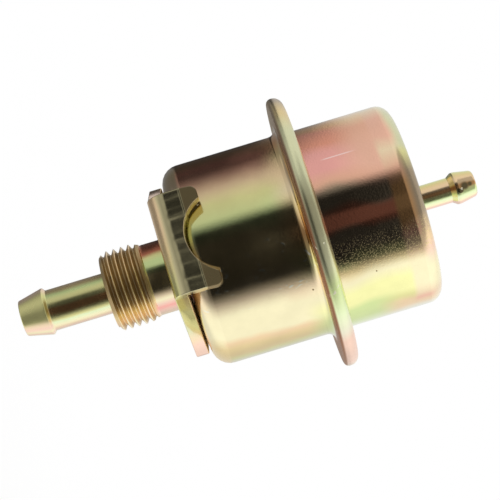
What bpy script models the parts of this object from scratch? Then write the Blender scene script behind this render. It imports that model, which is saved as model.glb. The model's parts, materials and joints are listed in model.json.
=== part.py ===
"""Diaphragm fuel pressure regulator: a crimped two-part can on a threaded stub, with a folded bracket.

The turning axis is +Z, from the return hose barb at the bottom to the vacuum nipple at the top. The
origin is on that axis, in the face of the bracket that seats on the engine's support. The bracket's
flaps face -Y and +Y, and the fuel inlet leaves the lower can through the +Y flap's cut-out.
"""

import math

import bmesh
import bpy
from mathutils import Matrix, Vector

MM = 0.001

# Clearances
PIECE_GAP = 0.15 * MM
CLAMP_GAP = 0.1 * MM
VALVE_GAP = 0.3 * MM

# Faces round each turned piece, and in each rounded edge
LARGE_STEPS = 40
SMALL_STEPS = 28
FINE_STEPS = 20
EDGE_PARTS = 3
CORNER_PARTS = 4
SIDE_PARTS = 6
CUTOUT_PARTS = 5
BEND_PARTS = 5
FOLD_PARTS = 6
BALL_PARTS = 8
WIRE_SIDES = 8
WIRE_STEPS = 16
FINE_WIRE_SIDES = 6
FINE_WIRE_STEPS = 12

# Angles above which an edge is shaded sharp
SHARP_DEG = 40.0
SHEET_SHARP_DEG = 30.0

# Return tube and its hose barb
TUBE_RADIUS = 4.1 * MM
TUBE_WALL = 1.3 * MM
TUBE_REACH = 17.65 * MM
BARB_RISE = 0.65 * MM
BARB_TIP_DROP = 0.55 * MM
BARB_LENGTH = 5.1 * MM
BARB_STEP = 0.55 * MM
BARB_CREST = 0.2 * MM
EDGE_BREAK = 0.25 * MM

# Threaded stub
THREAD_RADIUS = 8.0 * MM
THREAD_LENGTH = 7.95 * MM
THREAD_CHAMFER = 0.8 * MM
SHANK_LENGTH = 5.05 * MM
SHANK_UNDERCUT = 0.8 * MM
STUB_COLLAR_WIDTH = 3.3 * MM
STUB_COLLAR_HEIGHT = 1.6 * MM

# Bracket
PLATE_THICKNESS = 2.55 * MM
PLATE_HALF_WIDTH = 17.5 * MM
PLATE_CORNER_RADIUS = 1.5 * MM
FLAP_HALF_WIDTH = 9.75 * MM
FLAP_CLEARANCE = 0.3 * MM
FLAP_BELOW_INLET = 3.5 * MM
FLAP_CORNER_RADIUS = 0.8 * MM
BEND_INNER_RADIUS = 1.0 * MM
CUTOUT_CLEARANCE = 1.1 * MM
EAR_LENGTH = 3.1 * MM
CREASE_LENGTH = 0.8 * MM
EAR_LEAN_DEG = 16.0

# Cans and their crimped rim
LOWER_RADIUS = 20.15 * MM
LOWER_HEIGHT = 24.0 * MM
LOWER_SHEET = 0.7 * MM
LOWER_CORNER = 3.7 * MM
LOWER_FILLET = 1.5 * MM
CAN_STANDOFF = 0.5 * MM
UPPER_RADIUS = 20.0 * MM
UPPER_HEIGHT = 19.45 * MM
UPPER_SHEET = 0.7 * MM
UPPER_CORNER = 2.8 * MM
UPPER_FILLET = 0.6 * MM
RIM_WIDTH = 7.1 * MM
RIM_EDGE = 1.8 * MM
RIM_UNDER_EDGE = 1.0 * MM
LIP_CLEARANCE = 0.45 * MM
LIP_RISE = 0.5 * MM
LIP_WRAP_DEG = 85.0

# Fuel inlet
INLET_RISE = 10.0 * MM
INLET_LENGTH = 21.85 * MM
INLET_INSIDE = 2.1 * MM
INLET_COLLAR_WIDTH = 2.7 * MM
INLET_COLLAR_LENGTH = 2.6 * MM

# Vacuum nipple
STEM_RADIUS = 2.52 * MM
STEM_LENGTH = 7.2 * MM
BULB_RISE = 0.68 * MM
BULB_RAMP = 1.0 * MM
BULB_KNEE = 0.6 * MM
BULB_FLAT = 0.7 * MM
NIPPLE_TAPER = 2.7 * MM
NIPPLE_END_ROUND = 0.8 * MM
NIPPLE_WALL = 1.32 * MM
NIPPLE_FOOT_WIDTH = 2.1 * MM
NIPPLE_FOOT_HEIGHT = 0.9 * MM

# Main spring and its cap
SPRING_RADIUS = 9.4 * MM
SPRING_WIRE = 2.4 * MM
SPRING_TURNS = 6.0
SPRING_DEAD_TURNS = 0.9
CLOSED_PITCH_IN_WIRES = 1.04
CAP_SHEET = 0.8 * MM
CAP_MARGIN = 1.0 * MM
CAP_COLLAR_HEIGHT = 2.2 * MM

# Diaphragm and the plates that clamp its middle
DIAPHRAGM_THICKNESS = 0.5 * MM
FOLD_CLEARANCE = 0.7 * MM
FOLD_RISE = 1.3 * MM
PLATE_SHEET = 0.8 * MM
UPPER_PLATE_MARGIN = 0.8 * MM
UPPER_PLATE_WALL = 2.6 * MM
LOWER_PLATE_INSET = 1.6 * MM

# Valve
HOLDER_WALL = 1.35 * MM
HOLDER_ROOF = 0.9 * MM
NECK_RADIUS = 2.2 * MM
HEAD_MARGIN = 1.3 * MM
HEAD_HEIGHT = 0.9 * MM
BALL_RADIUS = 2.4 * MM
BALL_FLAT_DEPTH = 0.8 * MM
BALL_SPRING_LENGTH = 1.7 * MM
BALL_SPRING_RADIUS = 1.0 * MM
BALL_SPRING_WIRE = 0.4 * MM
BALL_SPRING_TURNS = 2.6
BALL_SPRING_DEAD_TURNS = 0.6
RETAINER_WIDTH = 1.3 * MM
RETAINER_THICKNESS = 0.4 * MM
RETAINER_DROP = 1.0 * MM
VALVE_PLATE_MARGIN = 0.9 * MM
VALVE_PLATE_THICKNESS = 1.0 * MM

# Valve seat in the inner end of the return tube
SEAT_STEM_WALL = 1.05 * MM
SEAT_NOSE_WALL = 1.1 * MM
SEAT_STEM_LENGTH = 4.0 * MM
SEAT_NOSE_HEIGHT = 0.7 * MM
SEAT_HEAD_HEIGHT = 1.7 * MM

# Radii that follow from the sizes above
TUBE_BORE_RADIUS = TUBE_RADIUS - TUBE_WALL
BARB_RADIUS = TUBE_RADIUS + BARB_RISE
BARB_TIP_RADIUS = TUBE_RADIUS - BARB_TIP_DROP
SHANK_RADIUS = THREAD_RADIUS - SHANK_UNDERCUT
STUB_COLLAR_RADIUS = SHANK_RADIUS + STUB_COLLAR_WIDTH
RIM_RADIUS = LOWER_RADIUS + RIM_WIDTH
LIP_END_RADIUS = UPPER_RADIUS + LIP_CLEARANCE
CLAMP_RADIUS = RIM_RADIUS - RIM_EDGE
INLET_COLLAR_RADIUS = TUBE_RADIUS + INLET_COLLAR_WIDTH
CUTOUT_RADIUS = INLET_COLLAR_RADIUS + CUTOUT_CLEARANCE
BULB_RADIUS = STEM_RADIUS + BULB_RISE
NIPPLE_BORE_RADIUS = STEM_RADIUS - NIPPLE_WALL
NIPPLE_FOOT_RADIUS = STEM_RADIUS + NIPPLE_FOOT_WIDTH
CAP_RADIUS = SPRING_RADIUS + SPRING_WIRE / 2 + CAP_MARGIN
UPPER_PLATE_RADIUS = SPRING_RADIUS + SPRING_WIRE / 2 + UPPER_PLATE_MARGIN + PLATE_SHEET
LOWER_PLATE_RADIUS = UPPER_PLATE_RADIUS - LOWER_PLATE_INSET
FOLD_INNER_RADIUS = UPPER_PLATE_RADIUS + FOLD_CLEARANCE
FOLD_OUTER_RADIUS = UPPER_RADIUS - UPPER_SHEET - FOLD_CLEARANCE
HEAD_RADIUS = NECK_RADIUS + HEAD_MARGIN
RETAINER_RADIUS = BALL_RADIUS + RETAINER_WIDTH
HOLDER_RADIUS = RETAINER_RADIUS + PIECE_GAP + HOLDER_WALL
SPRING_POCKET_RADIUS = BALL_SPRING_RADIUS + BALL_SPRING_WIRE / 2 + 2 * PIECE_GAP
SEAT_STEM_RADIUS = TUBE_BORE_RADIUS - PIECE_GAP
SEAT_BORE_RADIUS = SEAT_STEM_RADIUS - SEAT_STEM_WALL
SEAT_NOSE_RADIUS = SEAT_BORE_RADIUS + SEAT_NOSE_WALL
VALVE_PLATE_RADIUS = SEAT_NOSE_RADIUS + VALVE_PLATE_MARGIN

# Places that follow from the sizes above
THREAD_TOP = -SHANK_LENGTH
THREAD_BOTTOM = THREAD_TOP - THREAD_LENGTH
TUBE_BOTTOM = THREAD_BOTTOM - TUBE_REACH
LOWER_END = PLATE_THICKNESS + CAN_STANDOFF
LOWER_FLOOR = LOWER_END + LOWER_SHEET
RIM_BOTTOM = LOWER_END + LOWER_HEIGHT
CLAMP_FLOOR = RIM_BOTTOM + LOWER_SHEET
DIAPHRAGM_BOTTOM = CLAMP_FLOOR + CLAMP_GAP
DIAPHRAGM_TOP = DIAPHRAGM_BOTTOM + DIAPHRAGM_THICKNESS
UPPER_FLANGE_TOP = DIAPHRAGM_TOP + CLAMP_GAP + UPPER_SHEET
RIM_TOP = UPPER_FLANGE_TOP + PIECE_GAP + LOWER_SHEET
UPPER_END = RIM_TOP + UPPER_HEIGHT
UPPER_CEILING = UPPER_END - UPPER_SHEET
BULB_START = UPPER_END + STEM_LENGTH
BULB_WIDEST = BULB_START + BULB_RAMP
NIPPLE_NECK = BULB_WIDEST + BULB_FLAT + NIPPLE_TAPER
NIPPLE_END = NIPPLE_NECK + NIPPLE_END_ROUND
INLET_HEIGHT = LOWER_END + INLET_RISE
INLET_REACH = LOWER_RADIUS + INLET_LENGTH
FLAP_FACE = LOWER_RADIUS + FLAP_CLEARANCE + PLATE_THICKNESS
FLAP_TOP = INLET_HEIGHT - FLAP_BELOW_INLET
CREASE_HEIGHT = FLAP_TOP - EAR_LENGTH
LOWER_PLATE_BOTTOM = DIAPHRAGM_BOTTOM - CLAMP_GAP - PLATE_SHEET
UPPER_PLATE_BOTTOM = DIAPHRAGM_TOP + CLAMP_GAP
SHOULDER_HEIGHT = LOWER_PLATE_BOTTOM - CLAMP_GAP
POCKET_ROOF = SHOULDER_HEIGHT - HOLDER_ROOF
BALL_TOP = POCKET_ROOF - 2 * PIECE_GAP - BALL_SPRING_LENGTH
BALL_HEIGHT = BALL_TOP - BALL_RADIUS
BALL_FLAT = BALL_HEIGHT - BALL_RADIUS + BALL_FLAT_DEPTH
VALVE_PLATE_TOP = BALL_FLAT - PIECE_GAP
VALVE_PLATE_BOTTOM = VALVE_PLATE_TOP - VALVE_PLATE_THICKNESS
SEAT_TOP = VALVE_PLATE_BOTTOM - VALVE_GAP
TUBE_INNER_HEIGHT = SEAT_TOP - SEAT_NOSE_HEIGHT - SEAT_HEAD_HEIGHT - PIECE_GAP


def arc(centre_r, centre_z, radius, start_deg, end_deg, parts):
    """Points of an arc in the profile plane, both ends included."""
    points = []
    for i in range(parts + 1):
        angle = math.radians(start_deg + (end_deg - start_deg) * i / parts)
        points.append((centre_r + radius * math.cos(angle), centre_z + radius * math.sin(angle)))
    return points


def sheet(path, thickness):
    """A closed profile from one face of a sheet and its thickness, laid to the left of the path."""
    other_face = []
    for i, point in enumerate(path):
        here = Vector(point)
        before = (here - Vector(path[i - 1])).normalized() if i else None
        after = (Vector(path[i + 1]) - here).normalized() if i + 1 < len(path) else None
        before, after = before or after, after or before
        along = (before + after).normalized()
        left = Vector((-along.y, along.x))
        stretch = thickness / along.dot(before)
        other_face.append(tuple(here + left * stretch))
    return list(path) + other_face[::-1]


def paint(name, colour, roughness, metallic):
    """A plain Principled material."""
    material = bpy.data.materials.get(name)
    if material is None:
        material = bpy.data.materials.new(name)
        material.use_nodes = True
        shader = material.node_tree.nodes["Principled BSDF"]
        shader.inputs["Base Color"].default_value = (*colour, 1.0)
        shader.inputs["Roughness"].default_value = roughness
        shader.inputs["Metallic"].default_value = metallic
    return material


def zinc():
    return paint("yellow_passivated_zinc", (0.62, 0.50, 0.27), 0.28, 1.0)


def plain_steel():
    return paint("plain_steel", (0.56, 0.55, 0.53), 0.35, 1.0)


def brass():
    return paint("brass", (0.70, 0.52, 0.22), 0.30, 1.0)


def coated_cloth():
    return paint("rubber_coated_cloth", (0.04, 0.04, 0.045), 0.65, 0.0)


def add_object(name, bm, material, sharp_deg=SHARP_DEG):
    """Turns a finished bmesh into a named object with its faces out and its round faces smooth."""
    bmesh.ops.remove_doubles(bm, verts=bm.verts, dist=1e-7)
    bmesh.ops.recalc_face_normals(bm, faces=bm.faces)
    mesh = bpy.data.meshes.new(name)
    bm.to_mesh(mesh)
    bm.free()
    mesh.shade_smooth()
    mesh.set_sharp_from_angle(angle=math.radians(sharp_deg))
    mesh.materials.append(material)
    piece = bpy.data.objects.new(name, mesh)
    bpy.context.scene.collection.objects.link(piece)
    return piece


def turned(name, profile, material, steps=SMALL_STEPS):
    """A piece turned round the Z axis. A profile that starts and ends on the axis is left open there."""
    bm = bmesh.new()
    points = [bm.verts.new((r, 0.0, z)) for r, z in profile]
    edges = [bm.edges.new(pair) for pair in zip(points, points[1:])]
    if profile[0][0] > 0.0:
        edges.append(bm.edges.new((points[-1], points[0])))
    bmesh.ops.spin(
        bm,
        geom=points + edges,
        cent=(0.0, 0.0, 0.0),
        axis=(0.0, 0.0, 1.0),
        angle=2 * math.pi,
        steps=steps,
        use_merge=True,
    )
    return add_object(name, bm, material)


def cutter(name, radius, start, end):
    """A round tool from one point to another, used by a Boolean and then left out."""
    bm = bmesh.new()
    run = Vector(end) - Vector(start)
    middle = (Vector(start) + Vector(end)) / 2
    turn = run.to_track_quat("Z", "Y").to_matrix().to_4x4()
    bmesh.ops.create_cone(
        bm,
        cap_ends=True,
        segments=LARGE_STEPS,
        radius1=radius,
        radius2=radius,
        depth=run.length,
        matrix=Matrix.Translation(middle) @ turn,
    )
    tool = add_object(name, bm, plain_steel())
    tool.hide_render = True
    tool.display_type = "WIRE"
    return tool


def cut(piece, tool):
    modifier = piece.modifiers.new(tool.name, "BOOLEAN")
    modifier.operation = "DIFFERENCE"
    modifier.solver = "EXACT"
    modifier.object = tool


def coil(name, radius, wire, bottom, top, turns, dead_turns, material, sides, per_turn):
    """A round-wire spring whose end turns lie flat, between two heights of the wire's own surface."""
    bm = bmesh.new()
    wire_radius = wire / 2
    low = bottom + wire_radius
    high = top - wire_radius
    dead_rise = dead_turns * wire * CLOSED_PITCH_IN_WIRES
    live_rise = high - low - 2 * dead_rise
    live_turns = turns - 2 * dead_turns
    steps = round(turns * per_turn)
    rings = []
    for i in range(steps + 1):
        turned_by = turns * i / steps
        in_low = min(turned_by, dead_turns)
        in_live = min(max(turned_by - dead_turns, 0.0), live_turns)
        in_high = max(turned_by - dead_turns - live_turns, 0.0)
        height = low + dead_rise * (in_low + in_high) / dead_turns + live_rise * in_live / live_turns
        angle = 2 * math.pi * turned_by
        ring = []
        for k in range(sides):
            round_wire = 2 * math.pi * k / sides
            out = radius + wire_radius * math.cos(round_wire)
            up = height + wire_radius * math.sin(round_wire)
            ring.append(bm.verts.new((out * math.cos(angle), out * math.sin(angle), up)))
        rings.append(ring)
    for here, there in zip(rings, rings[1:]):
        for k in range(sides):
            after = (k + 1) % sides
            bm.faces.new((here[k], here[after], there[after], there[k]))
    bm.faces.new(rings[0])
    bm.faces.new(rings[-1])
    return add_object(name, bm, material)


def barbed_end(tip, direction):
    """Outer profile of a hose barb that points down, or up where direction is 1, from tube to tip."""
    points = [
        (TUBE_RADIUS, tip - direction * (BARB_LENGTH + BARB_STEP)),
        (BARB_RADIUS - BARB_CREST / 2, tip - direction * (BARB_LENGTH + BARB_CREST)),
        (BARB_RADIUS, tip - direction * BARB_LENGTH),
        (BARB_RADIUS - BARB_CREST / 2, tip - direction * (BARB_LENGTH - BARB_CREST * 2)),
        (BARB_TIP_RADIUS, tip - direction * EDGE_BREAK),
        (BARB_TIP_RADIUS - EDGE_BREAK, tip),
    ]
    return points


def make_return_tube():
    outside = [(TUBE_RADIUS, TUBE_INNER_HEIGHT)] + barbed_end(TUBE_BOTTOM, -1)
    inside = [
        (TUBE_BORE_RADIUS + EDGE_BREAK, TUBE_BOTTOM),
        (TUBE_BORE_RADIUS, TUBE_BOTTOM + EDGE_BREAK),
        (TUBE_BORE_RADIUS, TUBE_INNER_HEIGHT),
    ]
    return turned("return_tube", outside + inside, zinc())


def make_threaded_stub():
    bore = TUBE_RADIUS + PIECE_GAP
    collar_bottom = LOWER_FLOOR + PIECE_GAP
    collar_top = collar_bottom + STUB_COLLAR_HEIGHT
    thread_runout = THREAD_RADIUS - SHANK_RADIUS
    profile = [
        (bore, THREAD_BOTTOM),
        (THREAD_RADIUS - THREAD_CHAMFER, THREAD_BOTTOM),
        (THREAD_RADIUS, THREAD_BOTTOM + THREAD_CHAMFER),
        (THREAD_RADIUS, THREAD_TOP - thread_runout),
        (SHANK_RADIUS, THREAD_TOP),
        (SHANK_RADIUS, collar_bottom),
        (STUB_COLLAR_RADIUS, collar_bottom),
        (STUB_COLLAR_RADIUS, collar_top - EDGE_BREAK),
        (STUB_COLLAR_RADIUS - EDGE_BREAK, collar_top),
        (bore, collar_top),
    ]
    return turned("threaded_stub", profile, zinc())


def blank_corner(corner, before, after, radius, parts):
    """The rounded corner of a sheet blank, between the points before and after it."""
    corner, before, after = Vector(corner), Vector(before), Vector(after)
    to_before = (before - corner).normalized()
    to_after = (after - corner).normalized()
    half_angle = to_before.angle(to_after) / 2
    centre = corner + (to_before + to_after).normalized() * radius / math.sin(half_angle)
    start = corner + to_before * radius / math.tan(half_angle) - centre
    end = corner + to_after * radius / math.tan(half_angle) - centre
    sweep = start.angle_signed(end)
    points = []
    for i in range(parts + 1):
        points.append(tuple(centre + Matrix.Rotation(-sweep * i / parts, 2) @ start))
    return points


def flap_blank_length():
    """Flat length of the sheet's inner face, from the middle of the plate to the flap's end."""
    straight_run = FLAP_FACE - PLATE_THICKNESS - BEND_INNER_RADIUS
    bend_run = BEND_INNER_RADIUS * math.pi / 2
    rise = FLAP_TOP - PLATE_THICKNESS - BEND_INNER_RADIUS
    return straight_run, bend_run, rise


def quarter_blank():
    """One quarter of the bracket's flat blank, from the side corner to the middle of the flap's end."""
    straight_run, bend_run, rise = flap_blank_length()
    end = straight_run + bend_run + rise
    side = (0.0, PLATE_HALF_WIDTH)
    neck = (straight_run, FLAP_HALF_WIDTH)
    ear = (end, FLAP_HALF_WIDTH)
    cut_centre = end + FLAP_BELOW_INLET
    cut_half_angle = math.acos((cut_centre - end) / CUTOUT_RADIUS)
    other_neck = (-straight_run, FLAP_HALF_WIDTH)
    side_arc = blank_corner(side, other_neck, neck, PLATE_CORNER_RADIUS, SIDE_PARTS)
    points = side_arc[SIDE_PARTS // 2 :]
    points.append(neck)
    points += blank_corner(ear, neck, (end, 0.0), FLAP_CORNER_RADIUS, CORNER_PARTS)
    for i in range(CUTOUT_PARTS + 1):
        angle = cut_half_angle * (1 - i / CUTOUT_PARTS)
        points.append((cut_centre - CUTOUT_RADIUS * math.cos(angle), CUTOUT_RADIUS * math.sin(angle)))
    return points


def blank_outline():
    """The whole blank's outline, which is alike on both sides of both middle lines."""
    quarter = quarter_blank()
    half = quarter + [(s, -t) for s, t in quarter[-2::-1]]
    other_half = [(-s, -t) for s, t in half]
    return half[:-1] + other_half[:-1]


def folded(point):
    """Where a point of the flat blank goes: t across, s along the fold, h up from the sheet's outer face."""
    across, along, from_outside = point
    side = 1.0 if along > 0 else -1.0
    run = abs(along)
    straight_run, bend_run, _ = flap_blank_length()
    depth = PLATE_THICKNESS - from_outside
    radius = BEND_INNER_RADIUS + depth
    if run <= straight_run:
        return Vector((across, along, from_outside))
    centre_z = PLATE_THICKNESS + BEND_INNER_RADIUS
    if run <= straight_run + bend_run:
        angle = (run - straight_run) / BEND_INNER_RADIUS
        out = straight_run + radius * math.sin(angle)
        return Vector((across, side * out, centre_z - radius * math.cos(angle)))
    height = centre_z + run - straight_run - bend_run
    out = straight_run + radius
    return Vector((across, side * (out - ear_lean(height)), height))


def ear_lean(height):
    """How far the flap has leaned towards the can at a height, past the crease."""
    slope = math.tan(math.radians(EAR_LEAN_DEG))
    past = height - CREASE_HEIGHT + CREASE_LENGTH / 2
    if past <= 0.0:
        return 0.0
    if past < CREASE_LENGTH:
        return slope * past * past / (2 * CREASE_LENGTH)
    return slope * (past - CREASE_LENGTH / 2)


def make_bracket():
    bm = bmesh.new()
    rim = [bm.verts.new((across, along, 0.0)) for along, across in blank_outline()]
    edges = [bm.edges.new((rim[i - 1], rim[i])) for i in range(len(rim))]
    hole_radius = SHANK_RADIUS + PIECE_GAP
    hole = bmesh.ops.create_circle(bm, segments=SMALL_STEPS, radius=hole_radius)["verts"]
    edges += [edge for edge in bm.edges if edge.verts[0] in hole and edge.verts[1] in hole]
    bmesh.ops.triangle_fill(bm, edges=edges, use_beauty=True)
    straight_run, bend_run, _ = flap_blank_length()
    centre_z = PLATE_THICKNESS + BEND_INNER_RADIUS
    crease = straight_run + bend_run + CREASE_HEIGHT - centre_z
    lines = [straight_run + bend_run * i / BEND_PARTS for i in range(BEND_PARTS + 1)]
    lines += [crease - CREASE_LENGTH / 2, crease, crease + CREASE_LENGTH / 2]
    for line in lines:
        for place in (line, -line):
            bmesh.ops.bisect_plane(
                bm,
                geom=bm.verts[:] + bm.edges[:] + bm.faces[:],
                plane_co=(0.0, place, 0.0),
                plane_no=(0.0, 1.0, 0.0),
            )
    lifted = bmesh.ops.extrude_face_region(bm, geom=bm.faces[:])["geom"]
    top = [item for item in lifted if isinstance(item, bmesh.types.BMVert)]
    bmesh.ops.translate(bm, verts=top, vec=(0.0, 0.0, PLATE_THICKNESS))
    for vert in bm.verts:
        vert.co = folded(vert.co)
    return add_object("bracket", bm, zinc(), SHEET_SHARP_DEG)


def make_lower_can():
    path = [(SHANK_RADIUS + PIECE_GAP, LOWER_END)]
    corner_centre = LOWER_RADIUS - LOWER_CORNER
    fillet_centre = LOWER_RADIUS + LOWER_FILLET
    path += arc(corner_centre, LOWER_END + LOWER_CORNER, LOWER_CORNER, -90, 0, CORNER_PARTS)
    path += arc(fillet_centre, RIM_BOTTOM - LOWER_FILLET, LOWER_FILLET, 180, 90, EDGE_PARTS)
    under_centre = RIM_RADIUS - RIM_UNDER_EDGE
    path += arc(under_centre, RIM_BOTTOM + RIM_UNDER_EDGE, RIM_UNDER_EDGE, -90, 0, EDGE_PARTS)
    path += arc(RIM_RADIUS - RIM_EDGE, RIM_TOP - RIM_EDGE, RIM_EDGE, 0, LIP_WRAP_DEG, EDGE_PARTS)
    path.append((LIP_END_RADIUS, RIM_TOP + LIP_RISE))
    can = turned("lower_can", sheet(path, LOWER_SHEET), zinc(), LARGE_STEPS)
    hole_radius = TUBE_RADIUS + PIECE_GAP
    start = (0.0, LOWER_RADIUS / 2, INLET_HEIGHT)
    end = (0.0, LOWER_RADIUS + RIM_EDGE, INLET_HEIGHT)
    cut(can, cutter("inlet_hole_tool", hole_radius, start, end))
    return can


def make_upper_can():
    path = [(CLAMP_RADIUS, UPPER_FLANGE_TOP)]
    fillet_centre = UPPER_RADIUS + UPPER_FILLET
    corner_centre = UPPER_RADIUS - UPPER_CORNER
    path += arc(fillet_centre, UPPER_FLANGE_TOP + UPPER_FILLET, UPPER_FILLET, 270, 180, EDGE_PARTS)
    path += arc(corner_centre, UPPER_END - UPPER_CORNER, UPPER_CORNER, 0, 90, CORNER_PARTS)
    path.append((STEM_RADIUS + PIECE_GAP, UPPER_END))
    return turned("upper_can", sheet(path, UPPER_SHEET), zinc(), LARGE_STEPS)


def make_inlet_tube():
    inner_end = math.sqrt(LOWER_RADIUS**2 - TUBE_RADIUS**2) - INLET_INSIDE
    outside = [(TUBE_RADIUS, inner_end)] + barbed_end(INLET_REACH, 1)
    inside = [
        (TUBE_BORE_RADIUS + EDGE_BREAK, INLET_REACH),
        (TUBE_BORE_RADIUS, INLET_REACH - EDGE_BREAK),
        (TUBE_BORE_RADIUS, inner_end),
    ]
    tube = turned("inlet_tube", (outside + inside)[::-1], zinc())
    tube.matrix_world = Matrix.Translation((0.0, 0.0, INLET_HEIGHT)) @ Matrix.Rotation(-math.pi / 2, 4, "X")
    return tube


def make_inlet_collar():
    bore = TUBE_RADIUS + PIECE_GAP
    outer_end = LOWER_RADIUS + INLET_COLLAR_LENGTH
    inner_end = math.sqrt(LOWER_RADIUS**2 - INLET_COLLAR_RADIUS**2)
    profile = [
        (bore, inner_end),
        (INLET_COLLAR_RADIUS, inner_end),
        (INLET_COLLAR_RADIUS, outer_end - 2 * EDGE_BREAK),
        (INLET_COLLAR_RADIUS - 2 * EDGE_BREAK, outer_end),
        (bore, outer_end),
    ]
    collar = turned("inlet_collar", profile, zinc())
    collar.matrix_world = Matrix.Translation((0.0, 0.0, INLET_HEIGHT)) @ Matrix.Rotation(-math.pi / 2, 4, "X")
    start = (0.0, 0.0, INLET_HEIGHT - 2 * INLET_COLLAR_RADIUS)
    end = (0.0, 0.0, INLET_HEIGHT + 2 * INLET_COLLAR_RADIUS)
    cut(collar, cutter("saddle_tool", LOWER_RADIUS + PIECE_GAP, start, end))
    return collar


def make_vacuum_nipple():
    foot_top = UPPER_CEILING - PIECE_GAP
    foot_bottom = foot_top - NIPPLE_FOOT_HEIGHT
    profile = [
        (NIPPLE_BORE_RADIUS, foot_bottom),
        (NIPPLE_FOOT_RADIUS, foot_bottom),
        (NIPPLE_FOOT_RADIUS, foot_top),
        (STEM_RADIUS, foot_top),
        (STEM_RADIUS, BULB_START),
        ((STEM_RADIUS + BULB_RADIUS) / 2, BULB_START + BULB_KNEE),
        (BULB_RADIUS, BULB_WIDEST),
        (BULB_RADIUS, BULB_WIDEST + BULB_FLAT),
        (BULB_RADIUS - BULB_FLAT / 4, BULB_WIDEST + 2 * BULB_FLAT),
    ]
    end_centre = STEM_RADIUS - NIPPLE_END_ROUND
    profile += arc(end_centre, NIPPLE_NECK, NIPPLE_END_ROUND, 0, 90, EDGE_PARTS)
    profile.append((NIPPLE_BORE_RADIUS, NIPPLE_END))
    return turned("vacuum_nipple", profile, zinc())


def make_diaphragm():
    fold_middle = (FOLD_INNER_RADIUS + FOLD_OUTER_RADIUS) / 2
    half_span = (FOLD_OUTER_RADIUS - FOLD_INNER_RADIUS) / 2
    path = [(CLAMP_RADIUS, DIAPHRAGM_TOP)]
    for i in range(FOLD_PARTS + 1):
        share = 1 - 2 * i / FOLD_PARTS
        rise = FOLD_RISE * (0.5 + 0.5 * math.cos(math.pi * share))
        path.append((fold_middle + half_span * share, DIAPHRAGM_TOP + rise))
    path.append((NECK_RADIUS + PIECE_GAP, DIAPHRAGM_TOP))
    return turned("diaphragm", sheet(path, DIAPHRAGM_THICKNESS), coated_cloth(), LARGE_STEPS)


def make_upper_plate():
    top = UPPER_PLATE_BOTTOM + PLATE_SHEET
    wall_top = UPPER_PLATE_BOTTOM + UPPER_PLATE_WALL
    inner = UPPER_PLATE_RADIUS - PLATE_SHEET
    profile = [
        (NECK_RADIUS + PIECE_GAP, UPPER_PLATE_BOTTOM),
        (UPPER_PLATE_RADIUS - 2 * EDGE_BREAK, UPPER_PLATE_BOTTOM),
        (UPPER_PLATE_RADIUS, UPPER_PLATE_BOTTOM + 2 * EDGE_BREAK),
        (UPPER_PLATE_RADIUS, wall_top),
        (inner, wall_top),
        (inner, top + EDGE_BREAK),
        (inner - EDGE_BREAK, top),
        (NECK_RADIUS + PIECE_GAP, top),
    ]
    return turned("upper_plate", profile, plain_steel(), LARGE_STEPS)


def make_lower_plate():
    top = LOWER_PLATE_BOTTOM + PLATE_SHEET
    profile = [
        (NECK_RADIUS + PIECE_GAP, LOWER_PLATE_BOTTOM),
        (LOWER_PLATE_RADIUS - EDGE_BREAK, LOWER_PLATE_BOTTOM),
        (LOWER_PLATE_RADIUS, LOWER_PLATE_BOTTOM + EDGE_BREAK),
        (LOWER_PLATE_RADIUS, top),
        (NECK_RADIUS + PIECE_GAP, top),
    ]
    return turned("lower_plate", profile, plain_steel())


def make_valve_holder():
    """Turned holder: a seat for the ball, a pocket for its spring, and a neck riveted over the plates."""
    head_bottom = UPPER_PLATE_BOTTOM + PLATE_SHEET + CLAMP_GAP
    mouth = BALL_HEIGHT - RETAINER_DROP - RETAINER_THICKNESS
    ledge = BALL_HEIGHT - RETAINER_DROP + PIECE_GAP
    ball_room = BALL_RADIUS + PIECE_GAP
    cone_top = BALL_HEIGHT + math.sqrt(ball_room**2 - SPRING_POCKET_RADIUS**2)
    profile = [
        (0.0, POCKET_ROOF),
        (SPRING_POCKET_RADIUS, POCKET_ROOF),
        (SPRING_POCKET_RADIUS, cone_top),
        (ball_room, BALL_HEIGHT + ball_room / 2),
        (ball_room, ledge),
        (RETAINER_RADIUS + PIECE_GAP, ledge),
        (RETAINER_RADIUS + PIECE_GAP, mouth),
        (HOLDER_RADIUS - EDGE_BREAK, mouth),
        (HOLDER_RADIUS, mouth + EDGE_BREAK),
        (HOLDER_RADIUS, SHOULDER_HEIGHT),
        (NECK_RADIUS, SHOULDER_HEIGHT),
        (NECK_RADIUS, head_bottom),
        (HEAD_RADIUS, head_bottom),
        (HEAD_RADIUS, head_bottom + HEAD_HEIGHT / 2),
        (HEAD_RADIUS - HEAD_HEIGHT / 2, head_bottom + HEAD_HEIGHT),
        (0.0, head_bottom + HEAD_HEIGHT),
    ]
    return turned("valve_holder", profile, plain_steel())


def make_ball_retainer():
    top = BALL_HEIGHT - RETAINER_DROP
    bottom = top - RETAINER_THICKNESS
    inner = math.sqrt(BALL_RADIUS**2 - RETAINER_DROP**2) + PIECE_GAP
    profile = [(inner, bottom), (RETAINER_RADIUS, bottom), (RETAINER_RADIUS, top), (inner, top)]
    return turned("ball_retainer", profile, plain_steel())


def make_ball_spring():
    bottom = BALL_TOP + PIECE_GAP
    return coil(
        "ball_spring",
        BALL_SPRING_RADIUS,
        BALL_SPRING_WIRE,
        bottom,
        bottom + BALL_SPRING_LENGTH,
        BALL_SPRING_TURNS,
        BALL_SPRING_DEAD_TURNS,
        plain_steel(),
        FINE_WIRE_SIDES,
        FINE_WIRE_STEPS,
    )


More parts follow.
